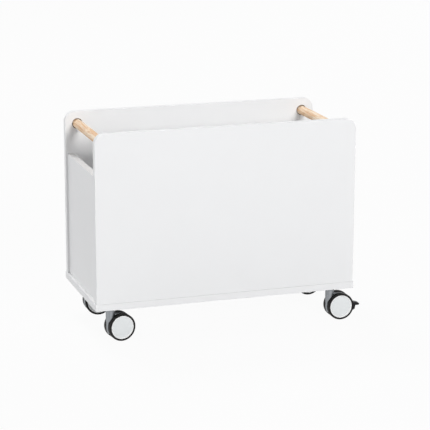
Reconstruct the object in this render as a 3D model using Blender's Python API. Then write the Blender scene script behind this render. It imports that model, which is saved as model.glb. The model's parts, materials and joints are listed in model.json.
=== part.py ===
"""Open toy chest on four twin-wheel castors, two of them braked, with two round wooden handles.

Run with: blender --background --python part.py
Metres, +Z up, the front panel faces -Y. The floor is z = 0, and the origin is the middle of the
whole footprint, brake pedal included. Every board is a separate piece, drawn together by cam
fittings at the ends and by screws through the base.
"""

import math

import bmesh
import bpy
from mathutils import Matrix, Vector

MM = 0.001

# Boards of the case
BOARD = 18 * MM
CASE_WIDTH = 720 * MM
CASE_DEPTH = 337 * MM
CASE_HEIGHT = 472 * MM
CORNER_RADIUS = 28 * MM
END_PANEL_HEIGHT = 338 * MM
END_PANEL_INSET = 5 * MM
BASE_OVERHANG = 2.5 * MM

# Gap left between two pieces that touch on the real chest
SEAT_GAP = 0.3 * MM

# Wooden handles, let into blind bores in the front and back panels, each with a wider mouth
HANDLE_DIAMETER = 25 * MM
HANDLE_EDGE = 34 * MM
HANDLE_SEAT = 11 * MM
HANDLE_CLEARANCE = 0.5 * MM
HANDLE_CHAMFER = 1 * MM
HANDLE_MOUTH_GAP = 2 * MM
HANDLE_MOUTH_DEPTH = 4 * MM

# Cam fittings between the end panels and the long panels
CAM_DIAMETER = 15 * MM
CAM_FLOOR = 1.5 * MM
CAM_SETBACK = 24 * MM
CAM_BELOW_TOP = 70 * MM
CAM_SLOT_LENGTH = 8 * MM
CAM_SLOT_WIDTH = 1.6 * MM
CAM_SLOT_DEPTH = 1.5 * MM
BOLT_THREAD_DIAMETER = 5 * MM
BOLT_THREAD_LENGTH = 11 * MM
BOLT_SHANK_DIAMETER = 7 * MM
BOLT_NECK_DIAMETER = 4 * MM
BOLT_NECK_LENGTH = 4 * MM
BOLT_HEAD_LENGTH = 4 * MM

# Screws up through the base into the bottom edges of the panels
SCREW_DIAMETER = 5 * MM
SCREW_HEAD_DIAMETER = 10 * MM
SCREW_BITE = 32 * MM
SCREW_POINT = 5 * MM
SCREW_SPREAD = 230 * MM

# Where the castors stand, measured in from the front panel's side edge and outer face
CASTOR_EDGE_X = 48 * MM
CASTOR_EDGE_Y = 46 * MM

# Castor stem and the threaded insert it screws into
INSERT_DIAMETER = 13.4 * MM
INSERT_SKIN = 4 * MM
INSERT_FLANGE_DIAMETER = 19 * MM
INSERT_FLANGE = 1.6 * MM
STEM_THREAD_DIAMETER = 8 * MM
STEM_THREAD_END = 3 * MM
STEM_COLLAR_DIAMETER = 18 * MM
STEM_COLLAR = 2.8 * MM
STEM_PIN_DIAMETER = 10 * MM
STEM_PIN_LENGTH = 15 * MM
STEM_CHAMFER = 1 * MM

# Twin wheels
WHEEL_DIAMETER = 74 * MM
WHEEL_WIDTH = 13.5 * MM
WHEEL_GAP = 13.5 * MM
WHEEL_HEADROOM = 22.5 * MM
TRAIL = 27 * MM
TYRE_THICKNESS = 5.3 * MM
TYRE_SHOULDER = 1.2 * MM
HUB_BOSS_DIAMETER = 16 * MM
HUB_RIM = 3 * MM
HUB_WEB = 4 * MM
HUB_DISH = 1.2 * MM
HUB_LIP = 2.4 * MM
HUB_SETBACK = 1 * MM
AXLE_DIAMETER = 8 * MM

# Castor housing: a round neck, hollowed out beside the wheels, and a flat body between them
NECK_DIAMETER = 24 * MM
NECK_DROP = 21 * MM
NECK_PROUD = 1 * MM
LEAD_ROUND = 5 * MM
WHEEL_CLEARANCE = 1 * MM
HOOD_SINK = 2 * MM
HOOD_END_ANGLE = math.radians(-20)
LEAD_WRAP_ANGLE = math.radians(30)
AXLE_BOSS_DIAMETER = 28 * MM
AXLE_BOSS_FROM = math.radians(220)
AXLE_BOSS_TO = math.radians(300)

# Brake lever, hung on a pin between the cheeks of a braked housing
PEDAL_LENGTH = 11.4 * MM
PEDAL_WIDTH = 16 * MM
PEDAL_THICKNESS = 6.4 * MM
PEDAL_RISE = 5 * MM
PEDAL_TIP_DROP = 0.5 * MM
PEDAL_TIP_FROM = math.radians(-100)
PEDAL_TIP_TO = math.radians(60)
LEVER_WIDTH = 5.6 * MM
LEVER_CLEARANCE = 0.4 * MM
LEVER_ROOT = 16 * MM
LEVER_ROOT_ANGLE = math.radians(25)
LEVER_SWING_ROOM = 9 * MM
LEVER_HEEL = 10.5 * MM
LEVER_HEEL_CUT = 5 * MM
LEVER_HEEL_END = math.radians(-25)
LEVER_HEEL_FROM = math.radians(-17)
LEVER_HEEL_TO = math.radians(-6)
SHOE_GAP = 4.5 * MM
BLADE_LAP = 1.2 * MM
BLADE_MARGIN = math.radians(2)
BRAKE_PIN_DIAMETER = 4 * MM
BRAKE_PIN_INSET = 10.5 * MM
BRAKE_PIN_ANGLE = math.radians(-4)
BRAKED = ("front_right", "back_left")

# How far a castor stands turned about its stem at rest
REST_TURN = {"front_left": math.radians(8)}

# Facets of round shapes
WHEEL_FACETS = 24
ROUND_FACETS = 16
SMALL_FACETS = 12
CORNER_STEPS = 8
SMOOTH_ANGLE = math.radians(35)
CUTTER_OVERSHOOT = 2 * MM
MERGE_DISTANCE = 0.01 * MM
SLIVER = 0.001 * MM

# Levels and places worked out from the sizes above
WHEEL_RADIUS = WHEEL_DIAMETER / 2
CASTOR_HEIGHT = WHEEL_DIAMETER + WHEEL_HEADROOM
BASE_TOP = CASTOR_HEIGHT + BOARD
PANEL_BOTTOM = BASE_TOP + SEAT_GAP
PANEL_HEIGHT = CASE_HEIGHT - BOARD - SEAT_GAP
CASTOR_X = CASE_WIDTH / 2 - CASTOR_EDGE_X
CASTOR_Y = CASE_DEPTH / 2 - CASTOR_EDGE_Y
LONG_PANEL_Y = CASE_DEPTH / 2 - BOARD / 2
END_PANEL_X = CASE_WIDTH / 2 - END_PANEL_INSET - BOARD / 2
END_PANEL_WIDTH = CASE_DEPTH - 2 * BOARD - 2 * SEAT_GAP
CAM_DEPTH = BOARD / 2 + BOLT_SHANK_DIAMETER / 2 + CAM_FLOOR
CAM_HEIGHT = END_PANEL_HEIGHT - CAM_BELOW_TOP
HANDLE_X = CASE_WIDTH / 2 - HANDLE_EDGE
HANDLE_HEIGHT = PANEL_HEIGHT - HANDLE_EDGE
SCREW_DROP = (SCREW_HEAD_DIAMETER - SCREW_DIAMETER) / 2
PEDAL_REACH = WHEEL_RADIUS + LEVER_HEEL + PEDAL_LENGTH
PEDAL_TIP_X = CASTOR_X + TRAIL + PEDAL_REACH
CASE_OFFSET_X = -(PEDAL_TIP_X - CASE_WIDTH / 2 - BASE_OVERHANG) / 2

# Castor frame: origin on the swivel axis at the base's underside, +X towards the wheels
AXLE_X = TRAIL
AXLE_Z = WHEEL_RADIUS - CASTOR_HEIGHT
HOUSING_TOP = -2 * SEAT_GAP - INSERT_FLANGE - STEM_COLLAR - SEAT_GAP
NECK_FOOT = -WHEEL_HEADROOM - NECK_DROP
HOOD_RADIUS = WHEEL_RADIUS - HOOD_SINK
HOUSING_WIDTH = WHEEL_GAP - 2 * WHEEL_CLEARANCE
HUB_RADIUS = WHEEL_RADIUS - TYRE_THICKNESS
HUB_WEB_INNER = WHEEL_WIDTH - HUB_DISH - HUB_WEB
AXLE_LENGTH = WHEEL_GAP + 2 * (HUB_WEB_INNER - SEAT_GAP)
BRAKE_PIN_RADIUS = WHEEL_RADIUS - BRAKE_PIN_INSET
BRAKE_PIN_X = AXLE_X + BRAKE_PIN_RADIUS * math.cos(BRAKE_PIN_ANGLE)
BRAKE_PIN_Z = AXLE_Z + BRAKE_PIN_RADIUS * math.sin(BRAKE_PIN_ANGLE)


def clear_scene():
    """Removes what the startup file holds."""
    for old in list(bpy.data.objects):
        bpy.data.objects.remove(old)


def finish(name, colour, roughness, metallic=0.0):
    """A plain Principled material."""
    made = bpy.data.materials.new(name)
    made.use_nodes = True
    shader = made.node_tree.nodes["Principled BSDF"]
    shader.inputs["Base Color"].default_value = (*colour, 1.0)
    shader.inputs["Roughness"].default_value = roughness
    shader.inputs["Metallic"].default_value = metallic
    return made


def shaded(bm, name):
    """Turns a bmesh into a mesh with outward faces, smooth except at real edges."""
    bmesh.ops.recalc_face_normals(bm, faces=bm.faces)
    mesh = bpy.data.meshes.new(name)
    bm.to_mesh(mesh)
    bm.free()
    mesh.shade_smooth()
    mesh.set_sharp_from_angle(angle=SMOOTH_ANGLE)
    return mesh


def box(name, low, high):
    """A block between two opposite corners."""
    low, high = Vector(low), Vector(high)
    bm = bmesh.new()
    bmesh.ops.create_cube(bm, size=1)
    bmesh.ops.scale(bm, vec=high - low, verts=bm.verts)
    bmesh.ops.translate(bm, vec=(low + high) / 2, verts=bm.verts)
    return shaded(bm, name)


def turned(name, profile, facets, turn=0.0):
    """A solid of revolution about Z from (radius, height) points.

    A profile that starts on the axis ends on it too. Any other one is a closed loop.
    """
    bm = bmesh.new()
    ring = [bm.verts.new((radius, 0, height)) for radius, height in profile]
    following = ring[1:] if profile[0][0] == 0 else ring[1:] + ring[:1]
    edges = [bm.edges.new(ends) for ends in zip(ring, following)]
    bmesh.ops.spin(
        bm, geom=ring + edges, cent=(0, 0, 0), axis=(0, 0, 1),
        angle=math.tau, steps=facets, use_merge=True, use_duplicate=False,
    )
    bmesh.ops.remove_doubles(bm, verts=bm.verts, dist=MERGE_DISTANCE)
    bmesh.ops.dissolve_degenerate(bm, edges=bm.edges, dist=SLIVER)
    bmesh.ops.rotate(bm, cent=(0, 0, 0), matrix=Matrix.Rotation(turn, 3, "Z"), verts=bm.verts)
    return shaded(bm, name)


def plate(name, outline, width):
    """An outline of (x, z) points extruded along Y, centred on y = 0."""
    bm = bmesh.new()
    face = bm.faces.new([bm.verts.new((x, -width / 2, z)) for x, z in outline])
    grown = bmesh.ops.extrude_face_region(bm, geom=[face])["geom"]
    moved = [part for part in grown if isinstance(part, bmesh.types.BMVert)]
    bmesh.ops.translate(bm, vec=(0, width, 0), verts=moved)
    return shaded(bm, name)


def arc(centre, radius, start, end, steps):
    """Points along a circular arc in the XZ plane, both ends included."""
    angles = [start + (end - start) * i / steps for i in range(steps + 1)]
    spokes = [polar(radius, angle) for angle in angles]
    return [(centre[0] + x, centre[1] + z) for x, z in spokes]


def polar(radius, angle):
    """A point in the XZ plane at a radius and angle about the origin."""
    return radius * math.cos(angle), radius * math.sin(angle)


def drill(radius, depth, mouth, direction, facets=SMALL_FACETS):
    """A round cutter that starts a little outside the mouth and goes in by depth."""
    profile = [(0, -CUTTER_OVERSHOOT), (radius, -CUTTER_OVERSHOOT), (radius, depth), (0, depth)]
    cutter = turned("drill", profile, facets)
    cutter.transform(Matrix.Translation(mouth) @ along(direction).to_4x4())
    return cutter


def along(direction):
    """The rotation that carries +Z to a direction."""
    return Vector(direction).to_track_quat("Z", "Y").to_matrix()


def carved(name, body, cut=(), join=()):
    """The body with some shapes joined to it and then others cut out of it."""
    blank = bpy.data.objects.new("blank", body)
    helpers = [bpy.data.objects.new("helper", mesh) for mesh in (*join, *cut)]
    for helper in (blank, *helpers):
        bpy.context.scene.collection.objects.link(helper)
    for number, helper in enumerate(helpers):
        step = blank.modifiers.new("carve", "BOOLEAN")
        step.operation = "UNION" if number < len(join) else "DIFFERENCE"
        step.solver = "EXACT"
        step.object = helper
    graph = bpy.context.evaluated_depsgraph_get()
    mesh = bpy.data.meshes.new_from_object(blank.evaluated_get(graph))
    for helper in (blank, *helpers):
        bpy.data.objects.remove(helper)
    mesh.name = name
    mesh.shade_smooth()
    mesh.set_sharp_from_angle(angle=SMOOTH_ANGLE)
    return mesh


def empty(name, parent, location):
    """A point that other pieces hang on."""
    point = bpy.data.objects.new(name, None)
    point.parent = parent
    point.location = location
    bpy.context.scene.collection.objects.link(point)
    return point


def piece(name, mesh, material, parent, location, rotation=None):
    """One named piece, placed in its parent's frame."""
    made = bpy.data.objects.new(name, mesh)
    if not mesh.materials:
        mesh.materials.append(material)
    made.parent = parent
    made.location = location
    if rotation is not None:
        made.rotation_euler = rotation.to_euler()
    bpy.context.scene.collection.objects.link(made)
    return made


def screw_places():
    """Where the base screws stand: three under each long panel, one under each end panel."""
    long_rows = {
        f"{row}_{side}": (x, y)
        for row, y in (("front", -LONG_PANEL_Y), ("back", LONG_PANEL_Y))
        for side, x in (("left", -SCREW_SPREAD), ("middle", 0.0), ("right", SCREW_SPREAD))
    }
    return long_rows | {"left_end": (-END_PANEL_X, 0.0), "right_end": (END_PANEL_X, 0.0)}


def castor_places():
    """The swivel axes of the four castors."""
    return {
        f"{row}_{side}": (x, y)
        for row, y in (("front", -CASTOR_Y), ("back", CASTOR_Y))
        for side, x in (("left", -CASTOR_X), ("right", CASTOR_X))
    }


def long_panel_mesh():
    """Front and back panel: top corners rounded, inner face at +Y, bottom edge at z = 0."""
    half, top, radius = CASE_WIDTH / 2, PANEL_HEIGHT, CORNER_RADIUS
    right = arc((half - radius, top - radius), radius, 0, math.pi / 2, CORNER_STEPS)
    left = arc((radius - half, top - radius), radius, math.pi / 2, math.pi, CORNER_STEPS)
    body = plate("long_panel", [(-half, 0), (half, 0), *right, *left], BOARD)
    handle_bore = HANDLE_DIAMETER / 2 + HANDLE_CLEARANCE
    wide_mouth = HANDLE_DIAMETER / 2 + HANDLE_MOUTH_GAP
    bolt_bore = BOLT_THREAD_DIAMETER / 2 + SEAT_GAP
    cutters = []
    for side in (-1, 1):
        handle_mouth = (side * HANDLE_X, BOARD / 2, HANDLE_HEIGHT)
        bolt_mouth = (side * END_PANEL_X, BOARD / 2, CAM_HEIGHT)
        cutters += [
            drill(handle_bore, HANDLE_SEAT, handle_mouth, (0, -1, 0), ROUND_FACETS),
            drill(wide_mouth, HANDLE_MOUTH_DEPTH, handle_mouth, (0, -1, 0), ROUND_FACETS),
            drill(bolt_bore, BOLT_THREAD_LENGTH + SEAT_GAP, bolt_mouth, (0, -1, 0)),
        ]
    for x in (-SCREW_SPREAD, 0.0, SCREW_SPREAD):
        cutters.append(screw_pilot((x, 0, 0)))
    return carved("long_panel", body, cut=cutters)


def screw_pilot(mouth):
    """The blind hole that a base screw bites into, in a panel's bottom edge."""
    return drill(SCREW_DIAMETER / 2 + SEAT_GAP, SCREW_BITE + SEAT_GAP, mouth, (0, 0, 1))


def end_panel_mesh():
    """End panel: inner face at +X, bottom edge at z = 0, bored for two cams and their bolts."""
    half = END_PANEL_WIDTH / 2
    body = box("end_panel", (-BOARD / 2, -half, 0), (BOARD / 2, half, END_PANEL_HEIGHT))
    cutters = [screw_pilot((0, 0, 0))]
    for side in (-1, 1):
        cam_mouth = (BOARD / 2, side * (half - CAM_SETBACK), CAM_HEIGHT)
        bolt_mouth = (0, side * half, CAM_HEIGHT)
        cutters += [
            drill(CAM_DIAMETER / 2 + SEAT_GAP, CAM_DEPTH, cam_mouth, (-1, 0, 0), ROUND_FACETS),
            drill(BOLT_SHANK_DIAMETER / 2 + SEAT_GAP, CAM_SETBACK, bolt_mouth, (0, -side, 0)),
        ]
    return carved("end_panel", body, cut=cutters)


def base_mesh():
    """Base board: top at z = 0, countersunk for its screws and bored from below for the inserts."""
    half_x, half_y = CASE_WIDTH / 2 + BASE_OVERHANG, CASE_DEPTH / 2
    body = box("base", (-half_x, -half_y, -BOARD), (half_x, half_y, 0))
    shank, head = SCREW_DIAMETER / 2 + SEAT_GAP, SCREW_HEAD_DIAMETER / 2 + SEAT_GAP
    countersink = [
        (0, -BOARD - CUTTER_OVERSHOOT), (head, -BOARD - CUTTER_OVERSHOOT), (head, -BOARD + SEAT_GAP),
        (shank, -BOARD + SEAT_GAP + head - shank), (shank, CUTTER_OVERSHOOT), (0, CUTTER_OVERSHOOT),
    ]
    cutters = []
    for x, y in screw_places().values():
        cutter = turned("countersink", countersink, SMALL_FACETS)
        cutter.transform(Matrix.Translation((x, y, 0)))
        cutters.append(cutter)
    for x, y in castor_places().values():
        hole = INSERT_DIAMETER / 2 + SEAT_GAP
        cutters.append(drill(hole, BOARD - INSERT_SKIN, (x, y, -BOARD), (0, 0, 1), ROUND_FACETS))
    return carved("base", body, cut=cutters)


def handle_mesh():
    """Round rod with chamfered ends, along Z."""
    radius, chamfer = HANDLE_DIAMETER / 2, HANDLE_CHAMFER
    half = CASE_DEPTH / 2 - BOARD + HANDLE_SEAT - SEAT_GAP
    profile = [
        (0, -half), (radius - chamfer, -half), (radius, -half + chamfer),
        (radius, half - chamfer), (radius - chamfer, half), (0, half),
    ]
    return turned("handle", profile, ROUND_FACETS)


def cam_mesh():
    """Cam disc: its face at z = 0 looks along +Z, and the bolt comes in along +X."""
    radius = CAM_DIAMETER / 2
    bottom = SEAT_GAP - CAM_DEPTH
    profile = [(0, bottom), (radius, bottom), (radius, -SEAT_GAP), (0, -SEAT_GAP)]
    slot_floor = -SEAT_GAP - CAM_SLOT_DEPTH
    slot = box(
        "slot",
        (-CAM_SLOT_LENGTH / 2, -CAM_SLOT_WIDTH / 2, slot_floor),
        (CAM_SLOT_LENGTH / 2, CAM_SLOT_WIDTH / 2, CUTTER_OVERSHOOT),
    )
    pocket_depth = radius + BOLT_HEAD_LENGTH / 2 + SEAT_GAP
    pocket = drill(
        BOLT_SHANK_DIAMETER / 2 + SEAT_GAP, pocket_depth, (radius, 0, -BOARD / 2), (-1, 0, 0)
    )
    return carved("cam", turned("cam", profile, ROUND_FACETS), cut=(slot, pocket))


def bolt_mesh():
    """Cam bolt along +Z: thread in the long panel below z = 0, head in the cam above it."""
    thread, shank = BOLT_THREAD_DIAMETER / 2, BOLT_SHANK_DIAMETER / 2
    neck = BOLT_NECK_DIAMETER / 2
    tip = SEAT_GAP + CAM_SETBACK + BOLT_HEAD_LENGTH / 2
    head = tip - BOLT_HEAD_LENGTH
    profile = [
        (0, -BOLT_THREAD_LENGTH), (thread, -BOLT_THREAD_LENGTH), (thread, SEAT_GAP), (shank, SEAT_GAP),
        (shank, head - BOLT_NECK_LENGTH), (neck, head - BOLT_NECK_LENGTH), (neck, head),
        (shank, head), (shank, tip), (0, tip),
    ]
    return turned("cam_bolt", profile, SMALL_FACETS)


def screw_mesh():
    """Countersunk screw along +Z, the face of its head at z = 0."""
    shank, head = SCREW_DIAMETER / 2, SCREW_HEAD_DIAMETER / 2
    tip = BOARD + SCREW_BITE
    profile = [
        (0, SEAT_GAP), (head, SEAT_GAP), (shank, SEAT_GAP + SCREW_DROP),
        (shank, tip - SCREW_POINT), (0, tip),
    ]
    return turned("base_screw", profile, SMALL_FACETS)


def insert_mesh():
    """Threaded insert in the castor frame: a sleeve in the base with a flange under it."""
    bore, body = STEM_THREAD_DIAMETER / 2 + SEAT_GAP, INSERT_DIAMETER / 2
    flange, top = INSERT_FLANGE_DIAMETER / 2, BOARD - INSERT_SKIN - SEAT_GAP
    under = -SEAT_GAP - INSERT_FLANGE
    profile = [
        (bore, under), (flange, under), (flange, -SEAT_GAP),
        (body, -SEAT_GAP), (body, top), (bore, top),
    ]
    return turned("castor_insert", profile, ROUND_FACETS)


def stem_mesh():
    """Steel stem in the castor frame: thread up into the insert, collar, and the swivel pin."""
    thread, collar, pin = STEM_THREAD_DIAMETER / 2, STEM_COLLAR_DIAMETER / 2, STEM_PIN_DIAMETER / 2
    top = BOARD - INSERT_SKIN - STEM_THREAD_END
    collar_top = -2 * SEAT_GAP - INSERT_FLANGE
    collar_under = collar_top - STEM_COLLAR
    foot = collar_under - STEM_PIN_LENGTH
    profile = [
        (0, foot), (pin - STEM_CHAMFER, foot), (pin, foot + STEM_CHAMFER), (pin, collar_under),
        (collar, collar_under), (collar, collar_top), (thread, collar_top),
        (thread, top - STEM_CHAMFER), (thread - STEM_CHAMFER, top), (0, top),
    ]
    return turned("castor_stem", profile, ROUND_FACETS)


def housing_outline():
    """Side view of the housing between the wheels: straight leading edge, hood, axle boss."""
    axle = (AXLE_X, AXLE_Z)
    lead_x, boss = NECK_DIAMETER / 2 - NECK_PROUD, AXLE_BOSS_DIAMETER / 2
    lead = arc(axle, AXLE_X + lead_x, math.pi, math.pi + LEAD_WRAP_ANGLE, 3)
    under = arc(axle, boss, AXLE_BOSS_FROM, AXLE_BOSS_TO, 5)
    hood = arc(axle, HOOD_RADIUS, HOOD_END_ANGLE, math.pi / 2, 10)
    return [(-lead_x, AXLE_Z + HOOD_RADIUS), *lead, *under, *hood]


def housing_blank():
    """The housing's flat body, with the two edges that lead the way rounded."""
    bm = bmesh.new()
    bm.from_mesh(plate("housing", housing_outline(), HOUSING_WIDTH))
    leading = []
    for edge in bm.edges:
        first, second = (vert.co for vert in edge.verts)
        if max(first.x, second.x) < 0 and first.y * second.y > 0:
            leading.append(edge)
    bmesh.ops.bevel(bm, geom=leading, offset=LEAD_ROUND, segments=4, profile=0.5, affect="EDGES")
    return shaded(bm, "housing")


def neck_mesh():
    """The housing's upright neck: a round post, hollowed out beside the flat body for the wheels."""
    radius, side = NECK_DIAMETER / 2, HOUSING_WIDTH / 2 + SEAT_GAP
    profile = [(0, NECK_FOOT), (radius, NECK_FOOT), (radius, HOUSING_TOP), (0, HOUSING_TOP)]
    arch = (WHEEL_RADIUS + WHEEL_CLEARANCE) / math.cos(math.pi / WHEEL_FACETS)
    arches = [
        drill(arch, radius - side, (AXLE_X, way * radius, AXLE_Z), (0, -way, 0), WHEEL_FACETS)
        for way in (-1, 1)
    ]
    return carved("neck", turned("neck", profile, ROUND_FACETS), cut=arches)


def housing_mesh(braked):
    """Castor housing in the castor frame: neck, hood and axle boss, slotted for a brake."""
    half = HOUSING_WIDTH / 2
    stem_bore, axle_bore = STEM_PIN_DIAMETER / 2 + SEAT_GAP, AXLE_DIAMETER / 2 + SEAT_GAP
    right_through = HOUSING_WIDTH + CUTTER_OVERSHOOT
    cutters = [
        drill(stem_bore, STEM_PIN_LENGTH, (0, 0, HOUSING_TOP), (0, 0, -1), ROUND_FACETS),
        drill(axle_bore, right_through, (AXLE_X, -half, AXLE_Z), (0, 1, 0)),
    ]
    if braked:
        slot_half = LEVER_WIDTH / 2 + LEVER_CLEARANCE
        slot_root = AXLE_X + WHEEL_RADIUS - LEVER_ROOT - LEVER_SWING_ROOM
        reach = HOOD_RADIUS + CUTTER_OVERSHOOT
        cutters.append(
            box(
                "slot",
                (slot_root, -slot_half, AXLE_Z - reach),
                (AXLE_X + reach, slot_half, AXLE_Z + reach),
            )
        )
        pin_mouth = (BRAKE_PIN_X, -half, BRAKE_PIN_Z)
        pin_hole = BRAKE_PIN_DIAMETER / 2 + SEAT_GAP
        cutters.append(drill(pin_hole, right_through, pin_mouth, (0, 1, 0)))
    return carved("castor_housing", housing_blank(), cut=cutters, join=(neck_mesh(),))


def axle_mesh():
    """Plain axle along Z."""
    radius, half = AXLE_DIAMETER / 2, AXLE_LENGTH / 2
    return turned("castor_axle", [(0, -half), (radius, -half), (radius, half), (0, half)], SMALL_FACETS)


def tyre_mesh():
    """Soft tread ring, its inner side at z = 0. Its flats touch the true circle, so it stands on one."""
    flat = 1 / math.cos(math.pi / WHEEL_FACETS)
    bore, tread = HUB_RADIUS + SEAT_GAP * flat, WHEEL_RADIUS * flat
    side, width, shoulder = tread - TYRE_SHOULDER, WHEEL_WIDTH, TYRE_SHOULDER
    profile = [
        (bore, 0), (side, 0), (tread, shoulder), (tread, width - shoulder), (side, width), (bore, width),
    ]
    return turned("tyre", profile, WHEEL_FACETS, turn=math.pi / WHEEL_FACETS)


def hub_mesh():
    """Wheel centre, its outer face dished inside a raised lip, hollow and bossed on its inner side."""
    bore, boss = AXLE_DIAMETER / 2 + SEAT_GAP, HUB_BOSS_DIAMETER / 2
    rim, radius = HUB_RADIUS - HUB_RIM, HUB_RADIUS
    web, dish, face = HUB_WEB_INNER, WHEEL_WIDTH - HUB_DISH, WHEEL_WIDTH
    lip = radius - HUB_LIP
    profile = [
        (0, web), (bore, web), (bore, HUB_SETBACK), (boss, HUB_SETBACK), (boss, web), (rim, web),
        (rim, HUB_SETBACK), (radius, HUB_SETBACK), (radius, face), (lip, face),
        (lip - HUB_DISH, dish), (0, dish),
    ]
    return turned("hub", profile, WHEEL_FACETS, turn=math.pi / WHEEL_FACETS)


def lever_outlines():
    """Side views of the brake lever about the axle: its blade, and the wide shoe and pedal it laps into."""
    heel, tip_radius = WHEEL_RADIUS + LEVER_HEEL, PEDAL_THICKNESS / 2
    shoe = WHEEL_RADIUS + SHOE_GAP
    axle, tip_centre = (0, 0), (PEDAL_REACH - tip_radius, -PEDAL_TIP_DROP)
    back = [
        polar(heel - LEVER_HEEL_CUT, LEVER_HEEL_END),
        *arc(axle, heel, LEVER_HEEL_FROM, LEVER_HEEL_TO, 3),
        (heel, -PEDAL_TIP_DROP - tip_radius),
        *arc(tip_centre, tip_radius, PEDAL_TIP_FROM, PEDAL_TIP_TO, 5),
        (heel, PEDAL_RISE),
    ]
    shoe_top = math.asin(PEDAL_RISE / shoe)
    low, high = LEVER_HEEL_END + BLADE_MARGIN, shoe_top - BLADE_MARGIN
    root = arc(axle, WHEEL_RADIUS - LEVER_ROOT, LEVER_ROOT_ANGLE, low, 5)
    blade = [*arc(axle, shoe + BLADE_LAP, low, high, 4), *root]
    wide = [*back, *arc(axle, shoe, shoe_top, LEVER_HEEL_END, 6)]
    return blade, wide


def lever_mesh():
    """Brake lever with its pin hole at the origin."""
    blade, wide = lever_outlines()
    lever = carved(
        "brake_lever",
        plate("lever", blade, LEVER_WIDTH),
        cut=(
            drill(
                BRAKE_PIN_DIAMETER / 2 + SEAT_GAP,
                LEVER_WIDTH + CUTTER_OVERSHOOT,
                (BRAKE_PIN_X - AXLE_X, -LEVER_WIDTH / 2, BRAKE_PIN_Z - AXLE_Z),
                (0, 1, 0),
            ),
        ),
        join=(plate("pedal", wide, PEDAL_WIDTH),),
    )
    lever.transform(Matrix.Translation((AXLE_X - BRAKE_PIN_X, 0, AXLE_Z - BRAKE_PIN_Z)))
    return lever


def brake_pin_mesh():
    """Pin along Z, flush with the housing's cheeks."""
    radius, half = BRAKE_PIN_DIAMETER / 2, HOUSING_WIDTH / 2
    return turned("brake_pin", [(0, -half), (radius, -half), (radius, half), (0, half)], SMALL_FACETS)


def build_case(chest, lacquer, timber, zinc, steel):
    """Boards, handles and the fittings that hold the boards together."""
    half_turn = Matrix.Rotation(math.pi, 3, "Z")
    piece("base_panel", base_mesh(), lacquer, chest, (0, 0, BASE_TOP))
    long_panel = long_panel_mesh()
    piece("front_panel", long_panel, lacquer, chest, (0, -LONG_PANEL_Y, PANEL_BOTTOM))
    piece("back_panel", long_panel, lacquer, chest, (0, LONG_PANEL_Y, PANEL_BOTTOM), half_turn)
    end_panel, cam, bolt, handle = end_panel_mesh(), cam_mesh(), bolt_mesh(), handle_mesh()
    for name, side in (("left", -1), ("right", 1)):
        turn = half_turn if side > 0 else Matrix.Identity(3)
        place = Vector((side * END_PANEL_X, 0, PANEL_BOTTOM))
        piece(f"{name}_end_panel", end_panel, lacquer, chest, place, turn)
        rod = (side * HANDLE_X, 0, PANEL_BOTTOM + HANDLE_HEIGHT)
        piece(f"{name}_handle_rod", handle, timber, chest, rod, along((0, 1, 0)))
        for row, way in (("front", -1), ("back", 1)):
            cam_y = way * (END_PANEL_WIDTH / 2 - CAM_SETBACK)
            cam_place = (side * (END_PANEL_X - BOARD / 2), cam_y, PANEL_BOTTOM + CAM_HEIGHT)
            inward, outward = Vector((-side, 0, 0)), Vector((0, way, 0))
            axes = Matrix((outward, inward.cross(outward), inward)).transposed()
            piece(f"{name}_{row}_cam", cam, zinc, chest, cam_place, axes)
            bolt_place = (side * END_PANEL_X, way * (CASE_DEPTH / 2 - BOARD), PANEL_BOTTOM + CAM_HEIGHT)
            piece(f"{name}_{row}_cam_bolt", bolt, steel, chest, bolt_place, along((0, -way, 0)))
    screw = screw_mesh()
    for name, (x, y) in screw_places().items():
        piece(f"{name}_base_screw", screw, steel, chest, (x, y, CASTOR_HEIGHT))


def build_castors(chest, rubber, cap, zinc, steel, nylon):
    """Four castors. Each has a swivel point, an axle point and, where braked, a pedal point."""
    insert, stem, axle, tyre, hub = insert_mesh(), stem_mesh(), axle_mesh(), tyre_mesh(), hub_mesh()
    housings = {braked: housing_mesh(braked) for braked in (False, True)}
    lever, pin = lever_mesh(), brake_pin_mesh()
    across = along((0, 1, 0))
    for name, (x, y) in castor_places().items():
        braked = name in BRAKED
        swivel = empty(f"{name}_swivel", chest, (x, y, CASTOR_HEIGHT))
        swivel.rotation_euler.z = REST_TURN.get(name, 0.0)
        piece(f"{name}_castor_insert", insert, steel, swivel, (0, 0, 0))
        piece(f"{name}_castor_stem", stem, steel, swivel, (0, 0, 0))
        piece(f"{name}_castor_housing", housings[braked], zinc, swivel, (0, 0, 0))
        spin = empty(f"{name}_axle_point", swivel, (AXLE_X, 0, AXLE_Z))
        piece(f"{name}_castor_axle", axle, steel, spin, (0, 0, 0), across)
        for wheel, way in (("front", -1), ("back", 1)):
            facing = along((0, way, 0))
            place = (0, way * WHEEL_GAP / 2, 0)
            piece(f"{name}_castor_{wheel}_tyre", tyre, rubber, spin, place, facing)
            piece(f"{name}_castor_{wheel}_hub", hub, cap, spin, place, facing)
        if braked:
            pivot = empty(f"{name}_pedal_point", swivel, (BRAKE_PIN_X, 0, BRAKE_PIN_Z))
            piece(f"{name}_brake_pin", pin, steel, pivot, (0, 0, 0), across)
            piece(f"{name}_brake_lever", lever, nylon, pivot, (0, 0, 0))


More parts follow.
